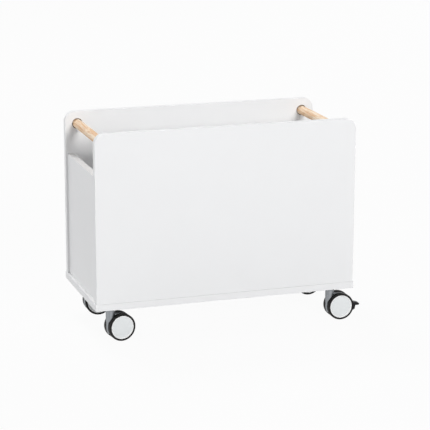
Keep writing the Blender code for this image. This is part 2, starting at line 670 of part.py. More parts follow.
def main():
    """Builds the whole chest at rest."""
    clear_scene()
    lacquer = finish("white_lacquered_board", (0.84, 0.85, 0.85), 0.45)
    timber = finish("beech", (0.76, 0.55, 0.36), 0.55)
    rubber = finish("dark_tread", (0.035, 0.033, 0.035), 0.6)
    cap = finish("pale_grey_nylon", (0.75, 0.76, 0.77), 0.4)
    zinc = finish("zinc_casting", (0.42, 0.42, 0.44), 0.35, 1.0)
    steel = finish("plated_steel", (0.6, 0.6, 0.62), 0.3, 1.0)
    nylon = finish("black_nylon", (0.02, 0.02, 0.02), 0.45)
    chest = empty("chest", None, (CASE_OFFSET_X, 0, 0))
    build_case(chest, lacquer, timber, zinc, steel)
    build_castors(chest, rubber, cap, zinc, steel, nylon)


main()
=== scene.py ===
"""Looks of an open toy chest on castors: finishes, eased edges, round castors, studio and camera.

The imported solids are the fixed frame, in metres with +Z up. Each visible solid is built again where it
stands, with the eased edges and true rounds of the real piece, and rides on the solid's own body.
"""

import json
import logging
import math
from abc import ABC, abstractmethod
from collections.abc import Iterable, Mapping, Sequence
from dataclasses import dataclass, fields
from enum import Enum
from typing import Any, ClassVar

import bmesh
import bpy
from bpy.types import Material, Mesh, Node, NodeSocket, NodeTree, Object
from mathutils import Matrix, Vector

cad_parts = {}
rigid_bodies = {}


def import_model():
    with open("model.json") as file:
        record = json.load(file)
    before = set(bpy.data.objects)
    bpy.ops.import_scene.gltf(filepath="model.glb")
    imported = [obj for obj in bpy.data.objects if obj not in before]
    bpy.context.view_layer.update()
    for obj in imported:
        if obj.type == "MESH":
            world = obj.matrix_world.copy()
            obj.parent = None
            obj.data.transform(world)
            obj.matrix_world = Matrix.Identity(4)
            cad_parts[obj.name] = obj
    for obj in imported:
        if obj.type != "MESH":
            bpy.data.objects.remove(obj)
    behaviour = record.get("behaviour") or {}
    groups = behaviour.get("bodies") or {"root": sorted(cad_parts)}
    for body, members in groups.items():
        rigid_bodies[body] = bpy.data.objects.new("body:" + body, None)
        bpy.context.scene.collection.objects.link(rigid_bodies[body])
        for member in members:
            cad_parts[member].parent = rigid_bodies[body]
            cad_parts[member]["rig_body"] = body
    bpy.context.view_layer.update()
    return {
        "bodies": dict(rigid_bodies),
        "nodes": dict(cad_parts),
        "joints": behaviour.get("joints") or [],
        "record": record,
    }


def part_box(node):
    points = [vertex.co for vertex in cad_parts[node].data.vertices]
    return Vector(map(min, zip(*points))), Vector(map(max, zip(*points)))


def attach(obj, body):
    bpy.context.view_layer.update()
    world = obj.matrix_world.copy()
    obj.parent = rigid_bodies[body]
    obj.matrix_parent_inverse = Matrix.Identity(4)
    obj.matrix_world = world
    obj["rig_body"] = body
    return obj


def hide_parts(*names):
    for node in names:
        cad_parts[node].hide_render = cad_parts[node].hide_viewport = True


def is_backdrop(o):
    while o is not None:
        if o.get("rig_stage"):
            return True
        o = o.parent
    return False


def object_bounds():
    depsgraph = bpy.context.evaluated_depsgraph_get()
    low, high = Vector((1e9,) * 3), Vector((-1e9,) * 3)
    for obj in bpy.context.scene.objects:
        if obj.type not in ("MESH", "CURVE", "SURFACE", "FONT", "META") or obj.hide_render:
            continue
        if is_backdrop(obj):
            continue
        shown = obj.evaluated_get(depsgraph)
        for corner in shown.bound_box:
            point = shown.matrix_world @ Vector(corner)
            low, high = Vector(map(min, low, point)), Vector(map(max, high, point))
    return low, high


LOG = logging.getLogger("toy_chest")
MM = 0.001

# Fineness of round shapes: whole turns, and the quarter turns of small edges
ROUND_FACETS = 64
WHEEL_FACETS = 96
EDGE_STEPS = 4

# Ways along the frame's axes
UP = Vector((0, 0, 1))
ACROSS = Vector((1, 0, 0))
ALONG = Vector((0, 1, 0))

# How far a cutter starts outside what it cuts, and the distance under which points are one
OVERSHOOT = 2 * MM
WELD = 0.001 * MM

# Room that two touching pieces keep, as in the solids
SEAT_GAP = 0.3 * MM

# Sockets of a node that mixes colours: the share of the second one, both colours and the result
MIX_SHARE, MIX_FIRST, MIX_SECOND, MIX_RESULT = 0, 6, 7, 2

# The bevel setting that gives a round edge
ROUND_PROFILE = 0.5

# Edges sharper than this stay crisp in the shading, and large flat faces stay flat at this weight
CRISP_ANGLE = math.radians(32)
FLAT_WEIGHT = 100

Colour = tuple[float, float, float, float]
Point = tuple[float, float]
Inputs = Mapping[str | int, Any]
Sizes = Mapping[str, NodeSocket]


class Slot(str, Enum):
    """The record's material slots."""

    BOARD = "white_board"
    WOOD = "beech"
    TREAD = "dark_tread"
    CAP = "pale_grey_cap"
    CASTING = "silver_casting"
    STEEL = "plated_steel"
    ZINC = "zinc_fitting"
    NYLON = "black_nylon"


class Side(Enum):
    """A choice of two sides, each with its direction along an axis."""

    @property
    def word(self) -> str:
        """The side as it stands in piece names."""
        return self.name.lower()


class Row(Side):
    """The front and back of the chest, along Y."""

    FRONT = -1
    BACK = 1


class End(Side):
    """The left and right ends of the chest, along X."""

    LEFT = -1
    RIGHT = 1


def linear(hex_colour: str) -> Colour:
    """Turns an sRGB colour into the linear values that shaders take.

    Args:
        hex_colour: A hash sign and six hex digits.

    Returns:
        Linear red, green and blue, and an alpha of 1.
    """
    channels = [int(hex_colour[start : start + 2], 16) / 255 for start in (1, 3, 5)]
    red, green, blue = (c / 12.92 if c <= 0.04045 else ((c + 0.055) / 1.055) ** 2.4 for c in channels)
    return red, green, blue, 1.0


def fill_inputs(tree: NodeTree, node: Node, inputs: Inputs) -> None:
    """Sets or links a node's inputs.

    Args:
        tree: The tree that holds the node.
        node: The node to fill.
        inputs: For each named or numbered input a value, a socket to link from, a node whose first
            output is meant, or a list of sockets and nodes.
    """
    for key, value in inputs.items():
        for source in value if isinstance(value, list) else [value]:
            if isinstance(source, Node):
                source = source.outputs[0]
            if isinstance(source, NodeSocket):
                tree.links.new(source, node.inputs[key])
            else:
                node.inputs[key].default_value = source


def add_node(tree: NodeTree, kind: str, inputs: Inputs | None = None, **settings: Any) -> Node:
    """Adds a node with its settings and links.

    Args:
        tree: The tree that gets the node.
        kind: The node's type.
        inputs: What fills its inputs, as fill_inputs takes it.
        settings: Values of the node's own properties.

    Returns:
        The new node.
    """
    node = tree.nodes.new(kind)
    for name, value in settings.items():
        setattr(node, name, value)
    fill_inputs(tree, node, inputs or {})
    return node


class Finish(ABC):
    """A surface of the real chest, and the material that shows it."""

    name: ClassVar[str]
    slot: ClassVar[Slot | None] = None

    def material(self) -> Material:
        """Makes the finish's procedural material.

        Returns:
            The material, on the piece's own coordinates.
        """
        made = bpy.data.materials.new(self.name)
        made.use_nodes = True
        tree = made.node_tree
        place = add_node(tree, "ShaderNodeTexCoord").outputs["Object"]
        fill_inputs(tree, tree.nodes["Principled BSDF"], self.surface(tree, place))
        return made

    @abstractmethod
    def surface(self, tree: NodeTree, place: NodeSocket) -> dict[str, Any]:
        """Adds the pattern nodes.

        Args:
            tree: The material's tree.
            place: The piece's own coordinates, in metres.

        Returns:
            What fills the shader's inputs.
        """


@dataclass(frozen=True)
class OiledBeech(Finish):
    """Pale beech rod, turned and oiled: soft growth bands and short brown flecks along the grain."""

    name = "oiled_beech"
    slot = Slot.WOOD
    early: str = "#F9E6CD"
    late: str = "#E0B07C"
    fleck: str = "#BC8B5E"
    smooth: float = 0.42
    rough: float = 0.58
    # Along the rod the grain is this many times longer than it is wide
    stretch: float = 14.0
    band_width: float = 6 * MM
    band_detail: float = 4.0
    band_warp: float = 0.8
    # The stretch of the noise between pure early and pure late wood
    band_from: float = 0.38
    band_to: float = 0.64
    # Real flecks are about 0.3 mm wide and are drawn coarser, so that they show
    fleck_width: float = 1.6 * MM
    fleck_detail: float = 2.0
    fleck_from: float = 0.56
    fleck_to: float = 0.7
    fleck_share: float = 0.55
    fleck_depth: float = 0.08 * MM

    def surface(self, tree: NodeTree, place: NodeSocket) -> dict[str, Any]:
        """Adds the bands and the flecks, both drawn out along Y.

        Args:
            tree: The material's tree.
            place: The piece's own coordinates, in metres.

        Returns:
            Tone, shine and the flecks' dents for the shader.
        """
        drawn_out = {"Vector": place, "Scale": (1.0, 1 / self.stretch, 1.0)}
        grain = add_node(tree, "ShaderNodeMapping", drawn_out)
        growth = {"Scale": 1 / self.band_width, "Detail": self.band_detail, "Distortion": self.band_warp}
        bands = add_node(tree, "ShaderNodeTexNoise", {"Vector": grain, **growth})
        season = {"Value": bands, "From Min": self.band_from, "From Max": self.band_to}
        depth = add_node(tree, "ShaderNodeMapRange", season)
        woods = {MIX_SHARE: depth, MIX_FIRST: linear(self.early), MIX_SECOND: linear(self.late)}
        wood = add_node(tree, "ShaderNodeMix", woods, data_type="RGBA").outputs[MIX_RESULT]
        speckle = {"Vector": grain, "Scale": 1 / self.fleck_width, "Detail": self.fleck_detail}
        specks = add_node(tree, "ShaderNodeTexNoise", speckle)
        cut_off = {"From Min": self.fleck_from, "From Max": self.fleck_to, "To Max": self.fleck_share}
        flecks = add_node(tree, "ShaderNodeMapRange", {"Value": specks, **cut_off})
        tones = {MIX_SHARE: flecks, MIX_FIRST: wood, MIX_SECOND: linear(self.fleck)}
        shine = {"Value": bands, "To Min": self.smooth, "To Max": self.rough}
        dents = {"Distance": self.fleck_depth, "Height": flecks}
        return {
            "Base Color": add_node(tree, "ShaderNodeMix", tones, data_type="RGBA").outputs[MIX_RESULT],
            "Roughness": add_node(tree, "ShaderNodeMapRange", shine),
            "Normal": add_node(tree, "ShaderNodeBump", dents, invert=True),
        }


@dataclass(frozen=True)
class TonedFinish(Finish):
    """A surface that wanders between two tones and is rougher where it is darker."""

    light: str
    dark: str
    smooth: float
    rough: float

    def toned(self, tree: NodeTree, share: Node, relief: Node, height: float) -> dict[str, Any]:
        """Adds the tone, the shine and the relief.

        Args:
            tree: The material's tree.
            share: How far the surface has gone from light and smooth to dark and rough.
            relief: The pattern that stands proud.
            height: How far it stands proud.

        Returns:
            What fills the shader's inputs.
        """
        tones = {MIX_SHARE: share, MIX_FIRST: linear(self.light), MIX_SECOND: linear(self.dark)}
        shine = {"Value": share, "To Min": self.smooth, "To Max": self.rough}
        return {
            "Base Color": add_node(tree, "ShaderNodeMix", tones, data_type="RGBA").outputs[MIX_RESULT],
            "Roughness": add_node(tree, "ShaderNodeMapRange", shine),
            "Normal": add_node(tree, "ShaderNodeBump", {"Distance": height, "Height": relief}),
        }


@dataclass(frozen=True)
class SprayedLacquer(TonedFinish):
    """White satin lacquer sprayed on fibreboard: even and soft, with a faint orange peel in its shine."""

    name = "sprayed_white_lacquer"
    slot = Slot.BOARD
    light: str = "#F1F1F1"
    dark: str = "#EEEEEE"
    smooth: float = 0.36
    rough: float = 0.46
    cloud_size: float = 110 * MM
    cloud_detail: float = 3.0
    # Real peel is about 2 mm across and is drawn coarser, so that it shows
    peel_size: float = 7 * MM
    peel_detail: float = 1.0
    peel_height: float = 0.012 * MM

    def surface(self, tree: NodeTree, place: NodeSocket) -> dict[str, Any]:
        """Adds clouds in the tone and the shine, and the peel.

        Args:
            tree: The material's tree.
            place: The piece's own coordinates, in metres.

        Returns:
            Tone, shine and peel for the shader.
        """
        mist = {"Vector": place, "Scale": 1 / self.cloud_size, "Detail": self.cloud_detail}
        clouds = add_node(tree, "ShaderNodeTexNoise", mist)
        skin = {"Vector": place, "Scale": 1 / self.peel_size, "Detail": self.peel_detail}
        peel = add_node(tree, "ShaderNodeTexNoise", skin)
        return self.toned(tree, clouds, peel, self.peel_height)


@dataclass(frozen=True)
class GrainedFinish(TonedFinish):
    """A moulded or cast surface: one colour, broken by the fine grain that its mould gave it."""

    grain_size: float
    grain_height: float
    grain_detail: float = 3.0
    metallic: float = 0.0
    gloss: float = 0.5

    def surface(self, tree: NodeTree, place: NodeSocket) -> dict[str, Any]:
        """Adds the grain to the tone, the shine and the relief.

        Args:
            tree: The material's tree.
            place: The piece's own coordinates, in metres.

        Returns:
            Tone, shine and relief for the shader, with its metallic and gloss.
        """
        grit = {"Vector": place, "Scale": 1 / self.grain_size, "Detail": self.grain_detail}
        grain = add_node(tree, "ShaderNodeTexNoise", grit)
        toned = self.toned(tree, grain, grain, self.grain_height)
        return {**toned, "Metallic": self.metallic, "Specular IOR Level": self.gloss}


@dataclass(frozen=True)
class PolyurethaneTread(GrainedFinish):
    """Soft black polyurethane cast on the wheel: nearly black, with a dull rubbery shine."""

    name = "black_polyurethane"
    slot = Slot.TREAD
    light: str = "#131110"
    dark: str = "#0B0A0A"
    smooth: float = 0.5
    rough: float = 0.65
    grain_size: float = 3 * MM
    grain_height: float = 0.03 * MM
    gloss: float = 0.2


@dataclass(frozen=True)
class MouldedCap(GrainedFinish):
    """Pale grey nylon moulded in a spark-eroded tool: light, even and half matt."""

    name = "moulded_grey_nylon"
    slot = Slot.CAP
    light: str = "#EFF1F1"
    dark: str = "#E8EBEB"
    smooth: float = 0.34
    rough: float = 0.46
    grain_size: float = 2.5 * MM
    grain_height: float = 0.02 * MM


@dataclass(frozen=True)
class SilverCasting(GrainedFinish):
    """Die-cast zinc under silver lacquer: a soft metal grey whose round sides shade like satin."""

    name = "silver_lacquered_zinc"
    slot = Slot.CASTING
    light: str = "#979A9D"
    dark: str = "#888B8F"
    smooth: float = 0.4
    rough: float = 0.48
    grain_size: float = 2 * MM
    grain_height: float = 0.008 * MM
    metallic: float = 1.0


@dataclass(frozen=True)
class PlatedSteel(GrainedFinish):
    """Turned steel, zinc plated and clear passivated: bright, with a cold cloudy tone."""

    name = "zinc_plated_steel"
    slot = Slot.STEEL
    light: str = "#C9CCD0"
    dark: str = "#AFB3B8"
    smooth: float = 0.22
    rough: float = 0.36
    grain_size: float = 4 * MM
    grain_height: float = 0.005 * MM
    metallic: float = 1.0


@dataclass(frozen=True)
class RawZinc(GrainedFinish):
    """Die-cast zinc straight from the tool: dull grey, with a frosty grain."""

    name = "die_cast_zinc"
    slot = Slot.ZINC
    light: str = "#A7A8AA"
    dark: str = "#8D8F92"
    smooth: float = 0.38
    rough: float = 0.55
    grain_size: float = 1.5 * MM
    grain_height: float = 0.015 * MM
    metallic: float = 1.0


@dataclass(frozen=True)
class BlackNylon(GrainedFinish):
    """Glass-filled black nylon: deep black with a fine matt moulding grain."""

    name = "glass_filled_nylon"
    slot = Slot.NYLON
    light: str = "#141415"
    dark: str = "#0C0C0D"
    smooth: float = 0.4
    rough: float = 0.55
    grain_size: float = 2 * MM
    grain_height: float = 0.03 * MM
    gloss: float = 0.2


@dataclass(frozen=True)
class WhiteRim(GrainedFinish):
    """Bright, smooth ring that frames the grey cap: its paler colour is a painted highlight on the raised
    lip.
    """

    name = "white_nylon_rim"
    light: str = "#FAFAF9"
    dark: str = "#F5F5F4"
    smooth: float = 0.25
    rough: float = 0.35
    grain_size: float = 2.5 * MM
    grain_height: float = 0.01 * MM


@dataclass(frozen=True)
class BareFibreboard(GrainedFinish):
    """The boards' brown fibreboard, which drilling lays bare: matt, with a felted look. Its dark brown also
    serves as painted shade in the narrow gap round each rod's mouth.
    """

    name = "bare_fibreboard"
    light: str = "#8F7153"
    dark: str = "#755A40"
    smooth: float = 0.8
    rough: float = 0.95
    grain_size: float = 1.5 * MM
    grain_height: float = 0.1 * MM


# The finish of each of the record's slots
FINISHES: tuple[type[Finish], ...] = (
    SprayedLacquer,
    OiledBeech,
    PolyurethaneTread,
    MouldedCap,
    SilverCasting,
    PlatedSteel,
    RawZinc,
    BlackNylon,
)


def polar(radius: float, angle: float) -> Point:
    """The point at a radius and an angle about the origin."""
    return radius * math.cos(angle), radius * math.sin(angle)


def arc(centre: Point, radius: float, start: float, end: float, steps: int) -> list[Point]:
    """Points along a circular arc.

    Args:
        centre: The arc's centre.
        radius: Its radius.
        start: The angle of its first point.
        end: The angle of its last point.
        steps: How many straight steps it is made of.

    Returns:
        The points, both ends included.
    """
    spokes = [polar(radius, start + (end - start) * i / steps) for i in range(steps + 1)]
    return [(centre[0] + across, centre[1] + up) for across, up in spokes]


def facing(origin: Sequence[float], direction: Sequence[float]) -> Matrix:
    """The placement that puts a shape's own +Z along a direction at an origin."""
    turn = Vector(direction).to_track_quat("Z", "Y").to_matrix()
    return Matrix.Translation(origin) @ turn.to_4x4()


def mesh_of(bm: bmesh.types.BMesh, name: str) -> Mesh:
    """Turns a bmesh into a mesh with outward faces.

    Args:
        bm: The bmesh, which is freed.
        name: The mesh's name.

    Returns:
        The new mesh.
    """
    bmesh.ops.recalc_face_normals(bm, faces=bm.faces)
    mesh = bpy.data.meshes.new(name)
    bm.to_mesh(mesh)
    bm.free()
    return mesh


def block(low: Sequence[float], high: Sequence[float]) -> Mesh:
    """A plain block.

    Args:
        low: Its lowest corner.
        high: Its highest corner.

    Returns:
        The mesh, in place.
    """
    low, high = Vector(low), Vector(high)
    bm = bmesh.new()
    bmesh.ops.create_cube(bm, size=1)
    bmesh.ops.scale(bm, vec=high - low, verts=bm.verts)
    bmesh.ops.translate(bm, vec=(low + high) / 2, verts=bm.verts)
    return mesh_of(bm, "block")


def plate(outline: Sequence[Point], near: float, far: float) -> Mesh:
    """An extruded outline.

    Args:
        outline: (x, z) points.
        near: Where it starts along Y.
        far: Where it ends along Y.

    Returns:
        The closed mesh.
    """
    bm = bmesh.new()
    face = bm.faces.new([bm.verts.new((x, near, z)) for x, z in outline])
    grown = bmesh.ops.extrude_face_region(bm, geom=[face])["geom"]
    moved = [part for part in grown if isinstance(part, bmesh.types.BMVert)]
    bmesh.ops.translate(bm, vec=(0, far - near, 0), verts=moved)
    return mesh_of(bm, "plate")


def turned(profile: Sequence[Point], placement: Matrix, facets: int = ROUND_FACETS) -> Mesh:
    """A solid of revolution.

    Args:
        profile: (radius, height) points. One that starts on the axis ends on it too, any other is a loop.
        placement: Where the turned axis goes.
        facets: How many steps the turn has.

    Returns:
        The closed mesh, in place.
    """
    bm = bmesh.new()
    ring = [bm.verts.new((radius, 0, height)) for radius, height in profile]
    following = ring[1:] if profile[0][0] == 0 else ring[1:] + ring[:1]
    edges = [bm.edges.new(ends) for ends in zip(ring, following)]
    whole_turn = {"cent": (0, 0, 0), "axis": (0, 0, 1), "angle": math.tau, "steps": facets}
    bmesh.ops.spin(bm, geom=ring + edges, use_merge=True, use_duplicate=False, **whole_turn)
    bmesh.ops.remove_doubles(bm, verts=bm.verts, dist=WELD)
    mesh = mesh_of(bm, "turned")
    mesh.transform(placement)
    return mesh


def bore(mouth: Sequence[float], direction: Sequence[float], wall: Sequence[Point]) -> Mesh:
    """A round cutter.

    Args:
        mouth: The middle of the hole's mouth.
        direction: The way into the material.
        wall: (radius, depth) points along the hole's wall, from its mouth inwards.

    Returns:
        The cutter, which starts a little outside the mouth.
    """
    profile = [(0.0, -OVERSHOOT), (wall[0][0], -OVERSHOOT), *wall, (0.0, wall[-1][1])]
    return turned(profile, facing(mouth, direction))


def seat(mouth: Sequence[float], direction: Sequence[float], radius: float, depth: float) -> Mesh:
    """The cutter for a plain hole that holds a fitting of that radius and depth with its seat gap."""
    return bore(mouth, direction, [(radius + SEAT_GAP, depth + SEAT_GAP)])


def linked(name: str, data: Any) -> Object:
    """Adds an object to the scene.

    Args:
        name: The object's name.
        data: Its mesh, light or camera.

    Returns:
        The new object.
    """
    made = bpy.data.objects.new(name, data)
    bpy.context.scene.collection.objects.link(made)
    return made


def evaluated(worker: Object) -> Mesh:
    """Takes the mesh that a helper object's modifiers give.

    Args:
        worker: The helper, which is removed.

    Returns:
        A plain mesh.
    """
    graph = bpy.context.evaluated_depsgraph_get()
    made = bpy.data.meshes.new_from_object(worker.evaluated_get(graph))
    worker.modifiers.clear()
    bpy.data.objects.remove(worker)
    return made


def reshaped(mesh: Mesh, steps: Iterable[tuple[str, Mapping[str, Any]]]) -> Mesh:
    """A mesh after a stack of modifiers.

    Args:
        mesh: The mesh to start from.
        steps: Each modifier's type and settings.

    Returns:
        The evaluated mesh.
    """
    worker = linked("worker", mesh)
    for kind, settings in steps:
        modifier = worker.modifiers.new(kind.lower(), kind)
        for name, value in settings.items():
            setattr(modifier, name, value)
    return evaluated(worker)


def eased(mesh: Mesh, radius: float, steps: int = 3) -> Mesh:
    """The mesh with its sharp edges rounded."""
    bevel = {"width": radius, "segments": steps, "limit_method": "ANGLE", "angle_limit": CRISP_ANGLE}
    return reshaped(mesh, [("BEVEL", bevel)])


def carved(mesh: Mesh, cut: Sequence[Mesh] = (), join: Sequence[Mesh] = ()) -> Mesh:
    """Joins shapes to a mesh and then cuts others out of it.

    Args:
        mesh: The mesh to start from.
        cut: What is cut out.
        join: What is joined first.

    Returns:
        The new mesh.
    """
    helpers = [linked("helper", other) for other in (*join, *cut)]
    steps = []
    for number, helper in enumerate(helpers):
        operation = "UNION" if number < len(join) else "DIFFERENCE"
        settings = {"operation": operation, "solver": "EXACT", "material_mode": "TRANSFER", "object": helper}
        steps.append(("BOOLEAN", settings))
    made = reshaped(mesh, steps)
    for helper in helpers:
        bpy.data.objects.remove(helper)
    return made


def shaded(mesh: Mesh) -> Mesh:
    """Shades a mesh smooth, with its flats kept flat and its crisp edges kept crisp.

    Args:
        mesh: The finished shape.

    Returns:
        The shaded mesh.
    """
    mesh.shade_smooth()
    mesh.set_sharp_from_angle(angle=CRISP_ANGLE)
    return reshaped(mesh, [("WEIGHTED_NORMAL", {"keep_sharp": True, "weight": FLAT_WEIGHT})])


def middle(node: str) -> Vector:
    """The middle of a solid's box."""
    low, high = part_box(node)
    return (low + high) / 2


def half_size(node: str) -> Vector:
    """Half the size of a solid's box."""
    low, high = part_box(node)
    return (high - low) / 2


@dataclass(frozen=True)
class Bench:
    """Fits finished pieces to the frame's bodies."""

    frame: Mapping[str, Any]
    materials: Mapping[Slot, Material]

    def fit(self, name: str, mesh: Mesh, slot: Slot, nodes: Sequence[str]) -> None:
        """Puts a piece in place of the solids that it stands for.

        Args:
            name: The piece's name.
            mesh: Its mesh, already in place, not shaded yet.
            slot: The finish that it takes, if it has none yet.
            nodes: The solids that it stands for, all on one body.
        """
        mesh = shaded(mesh)
        mesh.name = name
        if not any(mesh.materials):
            mesh.materials.clear()
            mesh.materials.append(self.materials[slot])
        piece = linked(name, mesh)
        body = self.frame["nodes"][nodes[0]]["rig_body"]
        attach(piece, body)
        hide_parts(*nodes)
        LOG.info("%s rides on %s with %d faces", name, body, len(mesh.polygons))

    def keep(self, node: str, slot: Slot) -> None:
        """Gives a solid that stays its finish.

        Args:
            node: The solid.
            slot: The finish that it takes.
        """
        for holder in self.frame["nodes"][node].material_slots:
            holder.material = self.materials[slot]
        LOG.info("%s stays, in %s", node, slot.value)


@dataclass(frozen=True)
class Place:
    """A spot where a repeated fitting stands: its +Z looks along facing, its +X along toward."""

    origin: Vector
    facing: Vector
    toward: Vector


@dataclass(frozen=True)
class PlacedShape(ABC):
    """One shape, made by geometry nodes from its named sizes, that stands on every given place."""

    @abstractmethod
    def shape(self, tree: NodeTree, size: Sizes) -> Node:
        """Adds the nodes that make the shape.

        Args:
            tree: The tree that gets the nodes.
            size: The tree's named sizes.

        Returns:
            The node that gives the shape.
        """

    def stand_on(self, places: Sequence[Place], material: Material) -> Mesh:
        """Makes one plain mesh of the shape on all its places.

        Args:
            places: Where the copies stand.
            material: Their finish.

        Returns:
            The evaluated mesh, with outward faces.
        """
        tree = bpy.data.node_groups.new(type(self).__name__, "GeometryNodeTree")
        tree.interface.new_socket("Places", in_out="INPUT", socket_type="NodeSocketGeometry")
        tree.interface.new_socket("Fittings", in_out="OUTPUT", socket_type="NodeSocketGeometry")
        finish = tree.interface.new_socket("Finish", in_out="INPUT", socket_type="NodeSocketMaterial")
        values = {finish.identifier: material}
        for entry in fields(self):
            socket = tree.interface.new_socket(entry.name, in_out="INPUT", socket_type="NodeSocketFloat")
            values[socket.identifier] = getattr(self, entry.name)
        given = add_node(tree, "NodeGroupInput").outputs
        look, aim = (
            add_node(tree, "GeometryNodeInputNamedAttribute", {"Name": name}, data_type="FLOAT_VECTOR")
            for name in ("facing", "toward")
        )
        upright = add_node(tree, "FunctionNodeAlignRotationToVector", {"Vector": look}, axis="Z")
        aimed = {"Rotation": upright, "Vector": aim}
        turn = add_node(tree, "FunctionNodeAlignRotationToVector", aimed, axis="X", pivot_axis="Z")
        standing = {"Points": given["Places"], "Instance": self.shape(tree, given), "Rotation": turn}
        copies = add_node(tree, "GeometryNodeInstanceOnPoints", standing)
        real = add_node(tree, "GeometryNodeRealizeInstances", {"Geometry": copies})
        dressed = add_node(tree, "GeometryNodeSetMaterial", {"Geometry": real, "Material": given["Finish"]})
        add_node(tree, "NodeGroupOutput", {"Fittings": dressed})
        worker = linked("places", self.spots(places))
        modifier = worker.modifiers.new(tree.name, "NODES")
        modifier.node_group = tree
        for identifier, value in values.items():
            modifier[identifier] = value
        mesh = evaluated(worker)
        bm = bmesh.new()
        bm.from_mesh(mesh)
        bmesh.ops.recalc_face_normals(bm, faces=bm.faces)
        bm.to_mesh(mesh)
        bm.free()
        return mesh

    @staticmethod
    def spots(places: Sequence[Place]) -> Mesh:
        """A mesh of loose points.

        Args:
            places: The places, one for each point.

        Returns:
            The points, with the ways that they look and aim as attributes.
        """
        points = bpy.data.meshes.new("places")
        points.from_pydata([place.origin for place in places], [], [])
        for name in ("facing", "toward"):
            layer = points.attributes.new(name, "FLOAT_VECTOR", "POINT")
            for point, place in zip(layer.data, places):
                point.vector = getattr(place, name)
        return points


def driver_cross(tree: NodeTree, size: Sizes) -> list[Node]:
    """Adds the two crossed blocks that cut a driver's recess into a face at z = 0.

    Args:
        tree: The tree that gets the nodes.
        size: The tree's named sizes, with the cross's span, width and depth.

    Returns:
        The nodes that give the blocks, half of each above the face.
    """
    tall = add_node(tree, "ShaderNodeMath", {0: size["cross_depth"], 1: 2.0}, operation="MULTIPLY")
    wings = []
    for across, along in (("cross_span", "cross_width"), ("cross_width", "cross_span")):
        extent = add_node(tree, "ShaderNodeCombineXYZ", {"X": size[across], "Y": size[along], "Z": tall})
        wings.append(add_node(tree, "GeometryNodeMeshCube", {"Size": extent}))
    return wings


@dataclass(frozen=True)
class CountersunkScrew(PlacedShape):
    """Chipboard screw, the face of its head at z = 0, with a cross recess for the driver."""

    head_radius: float
    length: float
    shank_radius: float = 2.5 * MM
    point_length: float = 5 * MM
    cross_span: float = 5.4 * MM
    cross_width: float = 1.3 * MM
    cross_depth: float = 2.2 * MM

    def shape(self, tree: NodeTree, size: Sizes) -> Node:
        """Adds head, shank and point as open sleeves, closes the head and cuts the cross.

        Args:
            tree: The tree that gets the nodes.
            size: The tree's named sizes.

        Returns:
            The node that gives the screw, pointing along +Z.
        """
        head, shank, point = size["head_radius"], size["shank_radius"], size["point_length"]
        drop = add_node(tree, "ShaderNodeMath", {0: head, 1: shank}, operation="SUBTRACT")
        point_level = add_node(tree, "ShaderNodeMath", {0: size["length"], 1: point}, operation="SUBTRACT")
        straight = add_node(tree, "ShaderNodeMath", {0: point_level, 1: drop}, operation="SUBTRACT")
        stages = ((head, shank, drop, 0.0), (shank, shank, straight, drop), (shank, 0.0, point, point_level))
        parts = []
        for wide, narrow, depth, level in stages:
            cone = {"Vertices": ROUND_FACETS, "Radius Bottom": wide, "Radius Top": narrow, "Depth": depth}
            sleeve = add_node(tree, "GeometryNodeMeshCone", cone, fill_type="NONE")
            lift = add_node(tree, "ShaderNodeCombineXYZ", {"Z": level})
            parts.append(add_node(tree, "GeometryNodeTransform", {"Geometry": sleeve, "Translation": lift}))
        lid = {"Vertices": ROUND_FACETS, "Radius": head}
        parts.append(add_node(tree, "GeometryNodeMeshCircle", lid, fill_type="NGON"))
        whole = add_node(tree, "GeometryNodeJoinGeometry", {"Geometry": parts})
        closed = add_node(tree, "GeometryNodeMergeByDistance", {"Geometry": whole, "Distance": WELD})
        cut = {"Mesh 1": closed, "Mesh 2": driver_cross(tree, size)}
        return add_node(tree, "GeometryNodeMeshBoolean", cut, operation="DIFFERENCE", solver="EXACT")


@dataclass(frozen=True)
class CamDisc(PlacedShape):
    """Cam fitting: its face at z = 0 looks along +Z with a driver cross, and a bolt comes in along +X."""

    radius: float
    depth: float
    bolt_level: float
    bolt_radius: float
    # The middle of the bolt's pocket, as a share of the radius
    pocket_share: float = 0.6
    cross_span: float = 9 * MM
    cross_width: float = 1.8 * MM
    cross_depth: float = 2 * MM

    def shape(self, tree: NodeTree, size: Sizes) -> Node:
        """Adds the disc and cuts the cross and the bolt's pocket out of it.

        Args:
            tree: The tree that gets the nodes.
            size: The tree's named sizes.

        Returns:
            The node that gives the cam.
        """
        radius, depth = size["radius"], size["depth"]
        blank = {"Vertices": ROUND_FACETS, "Radius": radius, "Depth": depth}
        disc = add_node(tree, "GeometryNodeMeshCylinder", blank)
        sunk = add_node(tree, "ShaderNodeMath", {0: depth, 1: -0.5}, operation="MULTIPLY")
        drop = add_node(tree, "ShaderNodeCombineXYZ", {"Z": sunk})
        seated = add_node(tree, "GeometryNodeTransform", {"Geometry": disc, "Translation": drop})
        hole = {"Vertices": ROUND_FACETS, "Radius": size["bolt_radius"], "Depth": radius}
        pocket = add_node(tree, "GeometryNodeMeshCylinder", hole)
        out = add_node(tree, "ShaderNodeMath", {0: radius, 1: size["pocket_share"]}, operation="MULTIPLY")
        spot = add_node(tree, "ShaderNodeCombineXYZ", {"X": out, "Z": size["bolt_level"]})
        lying = {"Geometry": pocket, "Translation": spot, "Rotation": (0.0, math.pi / 2, 0.0)}
        laid = add_node(tree, "GeometryNodeTransform", lying)
        cut = {"Mesh 1": seated, "Mesh 2": [*driver_cross(tree, size), laid]}
        return add_node(tree, "GeometryNodeMeshBoolean", cut, operation="DIFFERENCE", solver="EXACT")


